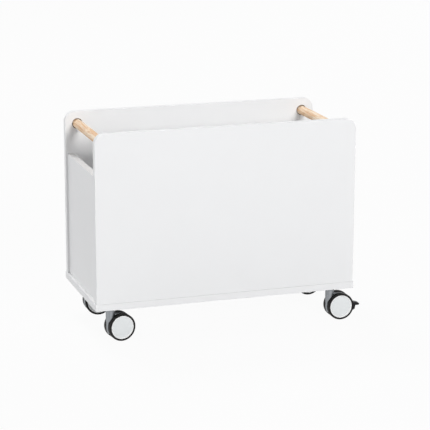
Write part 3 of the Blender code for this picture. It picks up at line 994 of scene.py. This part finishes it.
@dataclass(frozen=True)
class TreadRing(PlacedShape):
    """Soft tread: a rounded band swept round the wheel, its middle plane at z = 0."""

    tread_radius: float
    bore_radius: float
    width: float
    shoulder: float = 1.1 * MM
    shoulder_steps: ClassVar[int] = 5

    def shape(self, tree: NodeTree, size: Sizes) -> Node:
        """Adds the band's rounded section and sweeps it along a circle.

        Args:
            tree: The tree that gets the nodes.
            size: The tree's named sizes.

        Returns:
            The node that gives the tread.
        """
        radii = {0: size["tread_radius"], 1: size["bore_radius"]}
        thickness = add_node(tree, "ShaderNodeMath", radii, operation="SUBTRACT")
        both = add_node(tree, "ShaderNodeMath", radii, operation="ADD")
        mean = add_node(tree, "ShaderNodeMath", {0: both, 1: 0.5}, operation="MULTIPLY")
        band = {"Width": thickness, "Height": size["width"]}
        section = add_node(tree, "GeometryNodeCurvePrimitiveQuadrilateral", band, mode="RECTANGLE")
        corner = {"Count": self.shoulder_steps, "Radius": size["shoulder"], "Limit Radius": True}
        rounded = add_node(tree, "GeometryNodeFilletCurve", {"Curve": section, **corner}, mode="POLY")
        circle = {"Resolution": WHEEL_FACETS, "Radius": mean}
        path = add_node(tree, "GeometryNodeCurvePrimitiveCircle", circle, mode="RADIUS")
        return add_node(tree, "GeometryNodeCurveToMesh", {"Curve": path, "Profile Curve": rounded})


@dataclass(frozen=True)
class Case:
    """The five lacquered boards, with eased edges and every hole that a fitting or a rod goes into."""

    bench: Bench
    # Bare brown fibreboard for the holes, also painted shade in the rods' mouth gaps
    core: Material
    ease: float = 0.5 * MM
    corner_radius: float = 28 * MM
    corner_steps: int = 20
    # The mouths of the rods' bores are wider than the rods, which leaves a dark ring round each: shade in
    # the gap, with painted shade from the brown fibreboard inside it
    mouth_gap: float = 2 * MM
    mouth_depth: float = 4 * MM
    rod_clearance: float = 0.5 * MM

    def build(self) -> None:
        """Makes the boards and fits them."""
        for row in Row:
            node = f"{row.word}_panel"
            self.bench.fit(f"{row.word}_board", self.long_board(row), Slot.BOARD, [node])
        for end in End:
            node = f"{end.word}_end_panel"
            self.bench.fit(f"{end.word}_end_board", self.end_board(end), Slot.BOARD, [node])
        self.bench.fit("base_board", self.base_board(), Slot.BOARD, ["base_panel"])

    def drilled(self, board: Mesh, holes: Sequence[Mesh]) -> Mesh:
        """Finishes a board: lacquer and eased edges, and bare brown fibreboard in its holes, which is also
        painted shade in the rods' mouth gaps.

        Args:
            board: The plain board.
            holes: The cutters.

        Returns:
            The drilled board.
        """
        board.materials.append(self.bench.materials[Slot.BOARD])
        # The holes take the bare brown fibreboard, which also paints shade into the rods' mouth gaps
        for hole in holes:
            hole.materials.append(self.core)
        return carved(eased(board, self.ease), cut=holes)

    @staticmethod
    def fitted(node: str, mouth: Sequence[float], direction: Sequence[float], radius: float) -> Mesh:
        """The cutter for the hole that holds a round fitting.

        Args:
            node: The fitting's solid.
            mouth: The middle of the hole's mouth.
            direction: The way into the board, along an axis.
            radius: The fitting's radius.

        Returns:
            The cutter, which ends a seat gap past the fitting.
        """
        way = Vector(direction)
        far = max(corner.dot(way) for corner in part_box(node))
        return seat(mouth, direction, radius, far - Vector(mouth).dot(way))

    def screw_pilot(self, node: str, floor: float) -> Mesh:
        """The hole that a base screw bites into, from a board's bottom edge up."""
        return self.fitted(node, (*middle(node).xy, floor), UP, CountersunkScrew.shank_radius)

    def long_board(self, row: Row) -> Mesh:
        """The front or back board: top corners rounded, bored inside for rods and cam bolts.

        Args:
            row: Which of the two.

        Returns:
            The drilled board.
        """
        low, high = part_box(f"{row.word}_panel")
        radius, top = self.corner_radius, high.z - self.corner_radius
        right = arc((high.x - radius, top), radius, 0, math.pi / 2, self.corner_steps)
        left = arc((low.x + radius, top), radius, math.pi / 2, math.pi, self.corner_steps)
        board = plate([(low.x, low.z), (high.x, low.z), *right, *left], low.y, high.y)
        inner, inward = (high.y if row is Row.FRONT else low.y), (0, row.value, 0)
        screws = [f"{row.word}_{spot}_base_screw" for spot in ("left", "middle", "right")]
        cutters = [self.screw_pilot(screw, low.z) for screw in screws]
        for end in End:
            rod = f"{end.word}_handle_rod"
            spot, rod_radius = middle(rod), half_size(rod).x
            reach = abs(spot.y + row.value * half_size(rod).y - inner) + SEAT_GAP
            wide, snug = rod_radius + self.mouth_gap, rod_radius + self.rod_clearance
            wall = [(wide, self.mouth_depth), (snug, self.mouth_depth), (snug, reach)]
            cutters.append(bore((spot.x, inner, spot.z), inward, wall))
            bolt = f"{end.word}_{row.word}_cam_bolt"
            mouth = (middle(bolt).x, inner, middle(bolt).z)
            cutters.append(self.fitted(bolt, mouth, inward, half_size(bolt).x))
        return self.drilled(board, cutters)

    def end_board(self, end: End) -> Mesh:
        """An end board: a plain board, bored inside for the cams and at its edges for their bolts.

        Args:
            end: Which of the two.

        Returns:
            The drilled board.
        """
        low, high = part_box(f"{end.word}_end_panel")
        inner = high.x if end is End.LEFT else low.x
        cutters = [self.screw_pilot(f"{end.word}_end_base_screw", low.z)]
        for row in Row:
            cam = f"{end.word}_{row.word}_cam"
            mouth = (inner, *middle(cam).yz)
            cutters.append(self.fitted(cam, mouth, (end.value, 0, 0), half_size(cam).y))
            bolt, edge = f"{cam}_bolt", low.y if row is Row.FRONT else high.y
            mouth = (middle(bolt).x, edge, middle(bolt).z)
            cutters.append(self.fitted(bolt, mouth, (0, -row.value, 0), half_size(bolt).x))
        return self.drilled(block(low, high), cutters)

    def base_board(self) -> Mesh:
        """The base: countersunk from below for its screws and bored for the castor inserts.

        Returns:
            The drilled board.
        """
        low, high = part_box("base_panel")
        shank = CountersunkScrew.shank_radius + SEAT_GAP
        cutters = []
        for node in self.bench.frame["nodes"]:
            mouth = (*middle(node).xy, low.z)
            if node.endswith("_base_screw"):
                head = half_size(node).x + SEAT_GAP
                cone = [(head, SEAT_GAP), (shank, SEAT_GAP + head - shank)]
                cutters.append(bore(mouth, UP, [*cone, (shank, high.z - low.z + OVERSHOOT)]))
            if node.endswith("_castor_insert"):
                cutters.append(self.fitted(node, mouth, UP, Castor.insert_body))
        return self.drilled(block(low, high), cutters)


@dataclass(frozen=True)
class Handles:
    """The two beech rods."""

    bench: Bench
    end_round: float = 1.2 * MM

    def build(self) -> None:
        """Makes the rods and fits them."""
        for end in End:
            node = f"{end.word}_handle_rod"
            self.bench.fit(f"{end.word}_handle", self.rod(node), Slot.WOOD, [node])

    def rod(self, node: str) -> Mesh:
        """A rod with softly rounded ends, along Y.

        Args:
            node: The solid that it stands for.

        Returns:
            The rod, in place.
        """
        size = half_size(node)
        radius, half, soft = size.x, size.y, self.end_round
        foot = arc((radius - soft, soft - half), soft, -math.pi / 2, 0, EDGE_STEPS)
        head = arc((radius - soft, half - soft), soft, 0, math.pi / 2, EDGE_STEPS)
        return turned([(0, -half), *foot, *head, (0, half)], facing(middle(node), ALONG))


@dataclass(frozen=True)
class CaseFittings:
    """What holds the boards together: base screws, cams and their bolts."""

    bench: Bench

    def build(self) -> None:
        """Makes the screws and cams and fits them. The bolts are shut in and stay as they are."""
        nodes = sorted(self.bench.frame["nodes"])
        self.build_screws([node for node in nodes if node.endswith("_base_screw")])
        self.build_cams()
        for node in nodes:
            if node.endswith("_cam_bolt"):
                self.bench.keep(node, Slot.STEEL)

    def build_screws(self, nodes: Sequence[str]) -> None:
        """Makes the screws under the base, their heads looking down.

        Args:
            nodes: The solids that they stand for.
        """
        low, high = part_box(nodes[0])
        screw = CountersunkScrew(head_radius=half_size(nodes[0]).x, length=high.z - low.z)
        places = [Place(Vector((*middle(node).xy, low.z)), UP, ACROSS) for node in nodes]
        mesh = screw.stand_on(places, self.bench.materials[Slot.STEEL])
        self.bench.fit("base_screws", mesh, Slot.STEEL, nodes)

    def build_cams(self) -> None:
        """Makes the cams in the end boards, looking into the chest."""
        nodes, places = [], []
        for end in End:
            for row in Row:
                node = f"{end.word}_{row.word}_cam"
                face = middle(node)
                face.x -= end.value * half_size(node).x
                nodes.append(node)
                places.append(Place(face, Vector((-end.value, 0, 0)), Vector((0, row.value, 0))))
        size, bolt = half_size(nodes[0]), f"{nodes[0]}_bolt"
        cam = CamDisc(
            radius=size.y,
            depth=2 * size.x,
            bolt_level=-abs(middle(bolt).x - places[0].origin.x),
            bolt_radius=half_size(bolt).x + SEAT_GAP,
        )
        mesh = cam.stand_on(places, self.bench.materials[Slot.ZINC])
        self.bench.fit("cam_discs", mesh, Slot.ZINC, nodes)


@dataclass(frozen=True)
class Castor:
    """One twin-wheel castor: insert, stem, housing, two wheels and, on two of them, a brake lever.

    Shapes are laid out in the castor's own frame: the swivel axis is x = y = 0, the base's underside
    is z = 0, and the wheels trail towards +X.
    """

    bench: Bench
    # The paler finish of the lip round each cap: a painted highlight
    rim: Material
    name: str
    insert_body: float = 6.7 * MM
    insert_flange: float = 9.5 * MM
    insert_flange_height: float = 1.6 * MM
    thread_radius: float = 4 * MM
    collar_radius: float = 9 * MM
    collar_height: float = 2.8 * MM
    pin_radius: float = 5 * MM
    pin_chamfer: float = 1 * MM
    neck_radius: float = 12 * MM
    neck_drop: float = 21 * MM
    neck_proud: float = 1 * MM
    neck_round: float = 1.2 * MM
    lead_round: float = 5 * MM
    lead_round_steps: int = 8
    lead_wrap: float = math.radians(30)
    lead_steps: int = 12
    wheel_width: float = 13.5 * MM
    wheel_gap: float = 13.5 * MM
    wheel_clearance: float = 1 * MM
    hood_sink: float = 2 * MM
    hood_end: float = math.radians(-20)
    hood_steps: int = 40
    boss_radius: float = 14 * MM
    boss_from: float = math.radians(220)
    boss_to: float = math.radians(300)
    boss_steps: int = 16
    housing_ease: float = 0.5 * MM
    housing_ease_steps: int = 2
    tread_thickness: float = 5.3 * MM
    hub_bore: float = 4.3 * MM
    hub_boss: float = 8 * MM
    hub_rim: float = 3 * MM
    hub_web: float = 4 * MM
    hub_setback: float = 1 * MM
    cap_lip: float = 2.4 * MM
    cap_dish: float = 1.2 * MM
    cap_wall_lean: float = 0.3 * MM
    cap_round: float = 0.9 * MM
    cap_crown: float = 0.5 * MM
    # Where the crown has its rings, as shares of its radius
    crown_rings: tuple[float, ...] = (1.0, 0.92, 0.8, 0.6, 0.4, 0.2, 0.0)
    lever_clearance: float = 0.4 * MM
    lever_swing_room: float = 9 * MM

    @property
    def swivel(self) -> Vector:
        """The swivel axis at the base's underside."""
        return Vector((*middle(f"{self.name}_castor_stem").xy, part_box("base_panel")[0].z))

    @property
    def reach(self) -> Vector:
        """From the swivel axis to the middle of the axle."""
        return middle(f"{self.name}_castor_axle") - self.swivel

    @property
    def placement(self) -> Matrix:
        """Where the castor's own frame stands: on its stem, turned as the castor rests."""
        turn = math.atan2(self.reach.y, self.reach.x)
        return Matrix.Translation(self.swivel) @ Matrix.Rotation(turn, 4, "Z")

    @property
    def axle(self) -> Point:
        """The middle of the axle in the castor's own frame, as x and z."""
        return self.reach.xy.length, self.reach.z

    @property
    def wheel_radius(self) -> float:
        """The tread's radius: the wheels stand on the floor."""
        return middle(f"{self.name}_castor_axle").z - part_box(f"{self.name}_castor_front_tyre")[0].z

    @property
    def braked(self) -> bool:
        """Whether this castor has a brake lever."""
        return f"{self.name}_brake_lever" in self.bench.frame["nodes"]

    def levels(self, word: str) -> Point:
        """The lowest and highest level of one of the castor's solids, from the base's underside."""
        low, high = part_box(f"{self.name}_castor_{word}")
        return low.z - self.swivel.z, high.z - self.swivel.z

    def build(self) -> None:
        """Makes the castor's pieces and fits them. Axle and brake pin are shut in and stay."""
        pieces = [
            ("insert", self.insert(), Slot.STEEL, "castor_insert"),
            ("stem", self.stem(), Slot.STEEL, "castor_stem"),
            ("housing", self.housing(), Slot.CASTING, "castor_housing"),
        ]
        hidden = ["castor_axle"]
        for row in Row:
            pieces.append((f"{row.word}_tread", self.tread(row), Slot.TREAD, f"castor_{row.word}_tyre"))
            pieces.append((f"{row.word}_cap", self.hub(row), Slot.CAP, f"castor_{row.word}_hub"))
        if self.braked:
            lever = BrakeLever(self.wheel_radius).mesh()
            lever.transform(Matrix.Translation((self.axle[0], 0, self.axle[1])))
            pieces.append(("pedal", lever, Slot.NYLON, "brake_lever"))
            hidden.append("brake_pin")
        for word, mesh, slot, node in pieces:
            mesh.transform(self.placement)
            self.bench.fit(f"{self.name}_{word}", mesh, slot, [f"{self.name}_{node}"])
        for node in hidden:
            self.bench.keep(f"{self.name}_{node}", Slot.STEEL)

    def insert(self) -> Mesh:
        """The threaded insert: a sleeve in the base with a flange under it.

        Returns:
            The insert in the castor's own frame.
        """
        bore_radius, flange, body = self.thread_radius + SEAT_GAP, self.insert_flange, self.insert_body
        under, top = -SEAT_GAP - self.insert_flange_height, self.levels("insert")[1]
        collar = [(bore_radius, under), (flange, under), (flange, -SEAT_GAP), (body, -SEAT_GAP)]
        return turned([*collar, (body, top), (bore_radius, top)], Matrix())

    def stem(self) -> Mesh:
        """The steel stem: thread up into the insert, collar, and the pin that the housing turns on.

        Returns:
            The stem in the castor's own frame.
        """
        low, high = self.levels("stem")
        top = -2 * SEAT_GAP - self.insert_flange_height
        under, bite = top - self.collar_height, self.pin_chamfer
        pin, collar, thread = self.pin_radius, self.collar_radius, self.thread_radius
        lower = [(0, low), (pin - bite, low), (pin, low + bite), (pin, under), (collar, under)]
        upper = [(collar, top), (thread, top), (thread, high - bite), (thread - bite, high), (0, high)]
        return turned([*lower, *upper], Matrix())

    def housing(self) -> Mesh:
        """The casting: round neck, hood and axle boss between the wheels, slotted where it is braked.

        Returns:
            The housing in the castor's own frame.
        """
        hood, half = self.wheel_radius - self.hood_sink, self.wheel_gap / 2 - self.wheel_clearance
        lead = self.neck_radius - self.neck_proud
        outline = [
            (-lead, self.axle[1] + hood),
            *arc(self.axle, self.axle[0] + lead, math.pi, math.pi + self.lead_wrap, self.lead_steps),
            *arc(self.axle, self.boss_radius, self.boss_from, self.boss_to, self.boss_steps),
            *arc(self.axle, hood, self.hood_end, math.pi / 2, self.hood_steps),
        ]
        top, pin_end = self.levels("housing")[1], self.levels("stem")[0]
        axle_wall = [(self.hub_bore, 2 * half + OVERSHOOT)]
        cutters = [
            seat((0, 0, top), (0, 0, -1), self.pin_radius, top - pin_end),
            bore((self.axle[0], -half, self.axle[1]), ALONG, axle_wall),
        ]
        if self.braked:
            cutters += self.brake_cutters(half, hood)
        body = self.rounded_lead(plate(outline, -half, half))
        blank = eased(body, self.housing_ease, self.housing_ease_steps)
        return carved(blank, cut=cutters, join=[self.neck(half + SEAT_GAP, top)])

    def rounded_lead(self, blank: Mesh) -> Mesh:
        """Rounds the two edges of the flat body that lead the way.

        Args:
            blank: The body in the castor's own frame.

        Returns:
            The rounded body.
        """
        bm = bmesh.new()
        bm.from_mesh(blank)
        leading = []
        for edge in bm.edges:
            first, second = (vert.co for vert in edge.verts)
            if max(first.x, second.x) < 0 and first.y * second.y > 0:
                leading.append(edge)
        bend = {"offset": self.lead_round, "segments": self.lead_round_steps, "profile": ROUND_PROFILE}
        bmesh.ops.bevel(bm, geom=leading, affect="EDGES", **bend)
        return mesh_of(bm, "blank")

    def neck(self, side: float, top: float) -> Mesh:
        """The upright round neck, hollowed out beside the flat body for the wheels.

        Args:
            side: How far from the middle plane the hollows start.
            top: The level of the neck's upper end.

        Returns:
            The neck, its upper rim rounded.
        """
        radius, soft = self.neck_radius, self.neck_round
        foot = self.axle[1] + self.wheel_radius - self.neck_drop
        rim = arc((radius - soft, top - soft), soft, 0, math.pi / 2, EDGE_STEPS)
        arch = [(self.wheel_radius + self.wheel_clearance, radius - side)]
        hollows = []
        for row in Row:
            mouth = (self.axle[0], row.value * radius, self.axle[1])
            hollows.append(bore(mouth, (0, -row.value, 0), arch))
        return carved(turned([(0, foot), (radius, foot), *rim, (0, top)], Matrix()), cut=hollows)

    def brake_cutters(self, half: float, hood: float) -> list[Mesh]:
        """The slot that the lever swings in and the hole for its pin.

        Args:
            half: Half the housing's width.
            hood: The hood's radius about the axle.

        Returns:
            Cutters in the castor's own frame.
        """
        lever, pin = BrakeLever(self.wheel_radius), f"{self.name}_brake_pin"
        slot_half, reach = lever.width / 2 + self.lever_clearance, hood + OVERSHOOT
        across, level = self.axle
        root = across + self.wheel_radius - lever.root - self.lever_swing_room
        slot = block((root, -slot_half, level - reach), (across + reach, slot_half, level + reach))
        spot = self.placement.inverted() @ middle(pin)
        wall = [(half_size(pin).z + SEAT_GAP, 2 * half + OVERSHOOT)]
        return [slot, bore((spot.x, -half, spot.z), ALONG, wall)]

    def wheel_place(self, row: Row) -> Vector:
        """The middle of a wheel's inner side in the castor's own frame."""
        return Vector((self.axle[0], row.value * self.wheel_gap / 2, self.axle[1]))

    def tread(self, row: Row) -> Mesh:
        """A wheel's soft tread.

        Args:
            row: Which wheel of the pair.

        Returns:
            The tread in the castor's own frame.
        """
        bore_radius = self.wheel_radius - self.tread_thickness + SEAT_GAP
        ring = TreadRing(self.wheel_radius, bore_radius, self.wheel_width)
        outward = Vector((0, row.value, 0))
        place = Place(self.wheel_place(row) + outward * self.wheel_width / 2, outward, ACROSS)
        return ring.stand_on([place], self.bench.materials[Slot.TREAD])

    def hub(self, row: Row) -> Mesh:
        """A wheel's centre: a crowned grey cap inside a raised lip, hollow and bossed behind; the lip's
        paler colour is a painted highlight.

        Args:
            row: Which wheel of the pair.

        Returns:
            The centre in the castor's own frame.
        """
        radius, face = self.wheel_radius - self.tread_thickness, self.wheel_width
        dish, soft, back = face - self.cap_dish, self.cap_round, self.hub_setback
        web, rim, lip = dish - self.hub_web, radius - self.hub_rim, radius - self.cap_lip
        hole, boss = self.hub_bore, self.hub_boss
        socket = [(0, web), (hole, web), (hole, back), (boss, back), (boss, web)]
        skirt = [(rim, web), (rim, back), (radius, back)]
        edge = arc((radius - soft, face - soft), soft, 0, math.pi / 2, EDGE_STEPS)
        inner_edge = arc((lip + soft, face - soft), soft, math.pi / 2, math.pi, EDGE_STEPS)
        crown_radius = lip - self.cap_wall_lean
        crown = [(crown_radius * ring, dish + self.cap_crown * (1 - ring**2)) for ring in self.crown_rings]
        mesh = turned([*socket, *skirt, *edge, *inner_edge, *crown], Matrix(), WHEEL_FACETS)
        mesh.materials.append(self.bench.materials[Slot.CAP])
        mesh.materials.append(self.rim)
        # Faces outside the crown take the paler finish, a painted highlight on the lip
        for polygon in mesh.polygons:
            polygon.material_index = int(polygon.center.xy.length > crown_radius)
        mesh.transform(facing(self.wheel_place(row), (0, row.value, 0)))
        return mesh


@dataclass(frozen=True)
class BrakeLever:
    """The black lever that is trodden down: a blade between the cheeks, a shoe and a pedal behind."""

    wheel_radius: float
    width: float = 5.6 * MM
    root: float = 16 * MM
    root_angle: float = math.radians(25)
    heel: float = 10.5 * MM
    heel_cut: float = 5 * MM
    heel_end: float = math.radians(-25)
    heel_from: float = math.radians(-17)
    heel_to: float = math.radians(-6)
    heel_steps: int = 6
    shoe_gap: float = 4.5 * MM
    shoe_steps: int = 16
    blade_lap: float = 1.2 * MM
    blade_margin: float = math.radians(2)
    lap_steps: int = 8
    pedal_length: float = 11.4 * MM
    pedal_width: float = 16 * MM
    pedal_thickness: float = 6.4 * MM
    pedal_rise: float = 5 * MM
    tip_drop: float = 0.5 * MM
    tip_from: float = math.radians(-100)
    tip_to: float = math.radians(60)
    tip_steps: int = 12
    pin_radius: float = 2.3 * MM
    pin_inset: float = 10.5 * MM
    pin_angle: float = math.radians(-4)
    ease: float = 0.8 * MM

    def outlines(self) -> tuple[list[Point], list[Point]]:
        """Side views about the axle: the blade, and the wide shoe and pedal that it laps into.

        Returns:
            Both outlines, as (x, z) points.
        """
        centre, tip = (0.0, 0.0), self.pedal_thickness / 2
        heel, shoe = self.wheel_radius + self.heel, self.wheel_radius + self.shoe_gap
        tip_centre = (heel + self.pedal_length - tip, -self.tip_drop)
        back = [
            polar(heel - self.heel_cut, self.heel_end),
            *arc(centre, heel, self.heel_from, self.heel_to, self.heel_steps),
            (heel, -self.tip_drop - tip),
            *arc(tip_centre, tip, self.tip_from, self.tip_to, self.tip_steps),
            (heel, self.pedal_rise),
        ]
        shoe_top = math.asin(self.pedal_rise / shoe)
        low, high = self.heel_end + self.blade_margin, shoe_top - self.blade_margin
        root = arc(centre, self.wheel_radius - self.root, self.root_angle, low, self.shoe_steps)
        blade = [*arc(centre, shoe + self.blade_lap, low, high, self.lap_steps), *root]
        return blade, [*back, *arc(centre, shoe, shoe_top, self.heel_end, self.shoe_steps)]

    def mesh(self) -> Mesh:
        """The lever about the axle, its edges eased.

        Returns:
            The lever with the hole for its pin.
        """
        blade, wide = self.outlines()
        half, pedal_half = self.width / 2, self.pedal_width / 2
        pin_x, pin_z = polar(self.wheel_radius - self.pin_inset, self.pin_angle)
        hole = bore((pin_x, -half, pin_z), ALONG, [(self.pin_radius, self.width + OVERSHOOT)])
        pedal = plate(wide, -pedal_half, pedal_half)
        return eased(carved(plate(blade, -half, half), cut=[hole], join=[pedal]), self.ease)


@dataclass(frozen=True)
class Lamp:
    """A large soft box far off, which lights near and far pieces alike."""

    name: str
    # Degrees round from the front towards +X, and up from the floor
    azimuth: float
    elevation: float
    watts: float
    distance: float = 9.0
    size: float = 3.0

    def build(self, target: Vector) -> None:
        """Hangs the lamp and turns it to the target.

        Args:
            target: What it lights.
        """
        light = bpy.data.lights.new(self.name, "AREA")
        light.shape = "SQUARE"
        light.size = self.size
        light.energy = self.watts
        lamp = linked(self.name, light)
        flat, up = polar(1.0, math.radians(self.elevation))
        ahead, across = polar(flat, math.radians(self.azimuth))
        away = Vector((across, -ahead, up))
        lamp.location = target + self.distance * away
        lamp.rotation_euler = away.to_track_quat("Z", "Y").to_euler()
        LOG.info("%s hangs at %s", self.name, lamp.location[:])


@dataclass(frozen=True)
class Studio:
    """Plain pale floor, soft light and the photograph's camera."""

    floor_size: float = 40.0
    floor_colour: str = "#C4C4C4"
    # How much of the floor that the camera sees is plain white, the rest shows the shadow
    floor_white: float = 0.95
    # The surround gives a little cool light and looks white
    sky_light: str = "#737579"
    sky_look: str = "#FFFFFF"
    lamps: tuple[Lamp, ...] = (
        Lamp("key_lamp", azimuth=8.0, elevation=18.6, watts=497.0, size=2.2),
        Lamp("left_fill", azimuth=-80.0, elevation=10.0, watts=212.0),
        Lamp("back_fill", azimuth=200.0, elevation=60.0, watts=436.0),
        Lamp("right_fill", azimuth=130.0, elevation=12.0, watts=250.0),
    )
    # The camera that the case's corners in the photograph give
    image_pixels: int = 430
    focal_pixels: float = 1739.56
    sensor: float = 36.0
    camera_place: tuple[float, float, float] = (-1.4426, -4.3802, 1.4743)
    azimuth: float = math.radians(18.251)
    pitch: float = math.radians(14.432)
    roll: float = math.radians(0.169)

    def build(self) -> None:
        """Makes the floor, the sky, the lamps and the camera."""
        low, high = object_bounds()
        self.build_floor()
        self.build_sky()
        for lamp in self.lamps:
            lamp.build((low + high) / 2)
        self.build_camera()
        bpy.context.scene.view_settings.view_transform = "Standard"

    @staticmethod
    def seen(tree: NodeTree) -> Node:
        """Adds the test for rays that look at the studio.

        Args:
            tree: The tree that gets the nodes.

        Returns:
            A node that gives 1 for a camera, glossy or transmission ray, and 0 where light is gathered.
        """
        rays = add_node(tree, "ShaderNodeLightPath").outputs
        bent = {0: rays["Is Glossy Ray"], 1: rays["Is Transmission Ray"]}
        shiny = add_node(tree, "ShaderNodeMath", bent, operation="MAXIMUM")
        return add_node(tree, "ShaderNodeMath", {0: rays["Is Camera Ray"], 1: shiny}, operation="MAXIMUM")

    def build_floor(self) -> None:
        """Lays the floor: matt and pale, nearly white to the eye, with the chest's faint shadow."""
        bm = bmesh.new()
        bmesh.ops.create_grid(bm, x_segments=1, y_segments=1, size=self.floor_size / 2)
        floor = linked("studio_floor", mesh_of(bm, "studio_floor"))
        paint = bpy.data.materials.new("pale_studio_floor")
        paint.use_nodes = True
        tree = paint.node_tree
        tree.nodes.clear()
        matt = add_node(tree, "ShaderNodeBsdfDiffuse", {"Color": linear(self.floor_colour)})
        white = add_node(tree, "ShaderNodeEmission", {"Strength": 1.0})
        parts = {0: self.seen(tree), 1: self.floor_white}
        share = add_node(tree, "ShaderNodeMath", parts, operation="MULTIPLY")
        mixed = add_node(tree, "ShaderNodeMixShader", {0: share, 1: matt, 2: white})
        add_node(tree, "ShaderNodeOutputMaterial", {"Surface": mixed})
        floor.data.materials.append(paint)
        floor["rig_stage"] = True

    def build_sky(self) -> None:
        """Sets a white surround that lights the chest at a plain level."""
        world = bpy.data.worlds.new("studio_surround")
        bpy.context.scene.world = world
        world.use_nodes = True
        tree = world.node_tree
        colours = {MIX_FIRST: linear(self.sky_light), MIX_SECOND: linear(self.sky_look)}
        tones = {MIX_SHARE: self.seen(tree), **colours}
        glow = add_node(tree, "ShaderNodeMix", tones, data_type="RGBA").outputs[MIX_RESULT]
        fill_inputs(tree, tree.nodes["Background"], {"Color": glow, "Strength": 1.0})

    def build_camera(self) -> None:
        """Sets the camera where the photograph was taken from."""
        data = bpy.data.cameras.new("photo_camera")
        data.sensor_width = self.sensor
        data.lens = self.sensor * self.focal_pixels / self.image_pixels
        camera = linked("photo_camera", data)
        flat, drop = math.cos(self.pitch), math.sin(self.pitch)
        ahead = Vector((math.sin(self.azimuth) * flat, math.cos(self.azimuth) * flat, -drop))
        level = Vector((math.cos(self.azimuth), -math.sin(self.azimuth), 0))
        right = level * math.cos(self.roll) + level.cross(ahead) * math.sin(self.roll)
        axes = Matrix((right, right.cross(ahead), -ahead)).transposed()
        camera.matrix_world = Matrix.Translation(self.camera_place) @ axes.to_4x4()
        bpy.context.scene.camera = camera


def main() -> None:
    """Builds the chest's looks round the frame, then the studio."""
    logging.basicConfig(level=logging.INFO, format="%(name)s: %(message)s")
    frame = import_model()
    bench = Bench(frame, {finish.slot: finish().material() for finish in FINISHES})
    # The holes are bare brown fibreboard, also painted shade in the rods' mouth gaps
    Case(bench, BareFibreboard().material()).build()
    Handles(bench).build()
    CaseFittings(bench).build()
    # The caps' lips take a paler finish: a painted highlight
    rim = WhiteRim().material()
    for row in Row:
        for end in End:
            Castor(bench, rim, f"{row.word}_{end.word}").build()
    Studio().build()


if __name__ == "__main__":
    main()
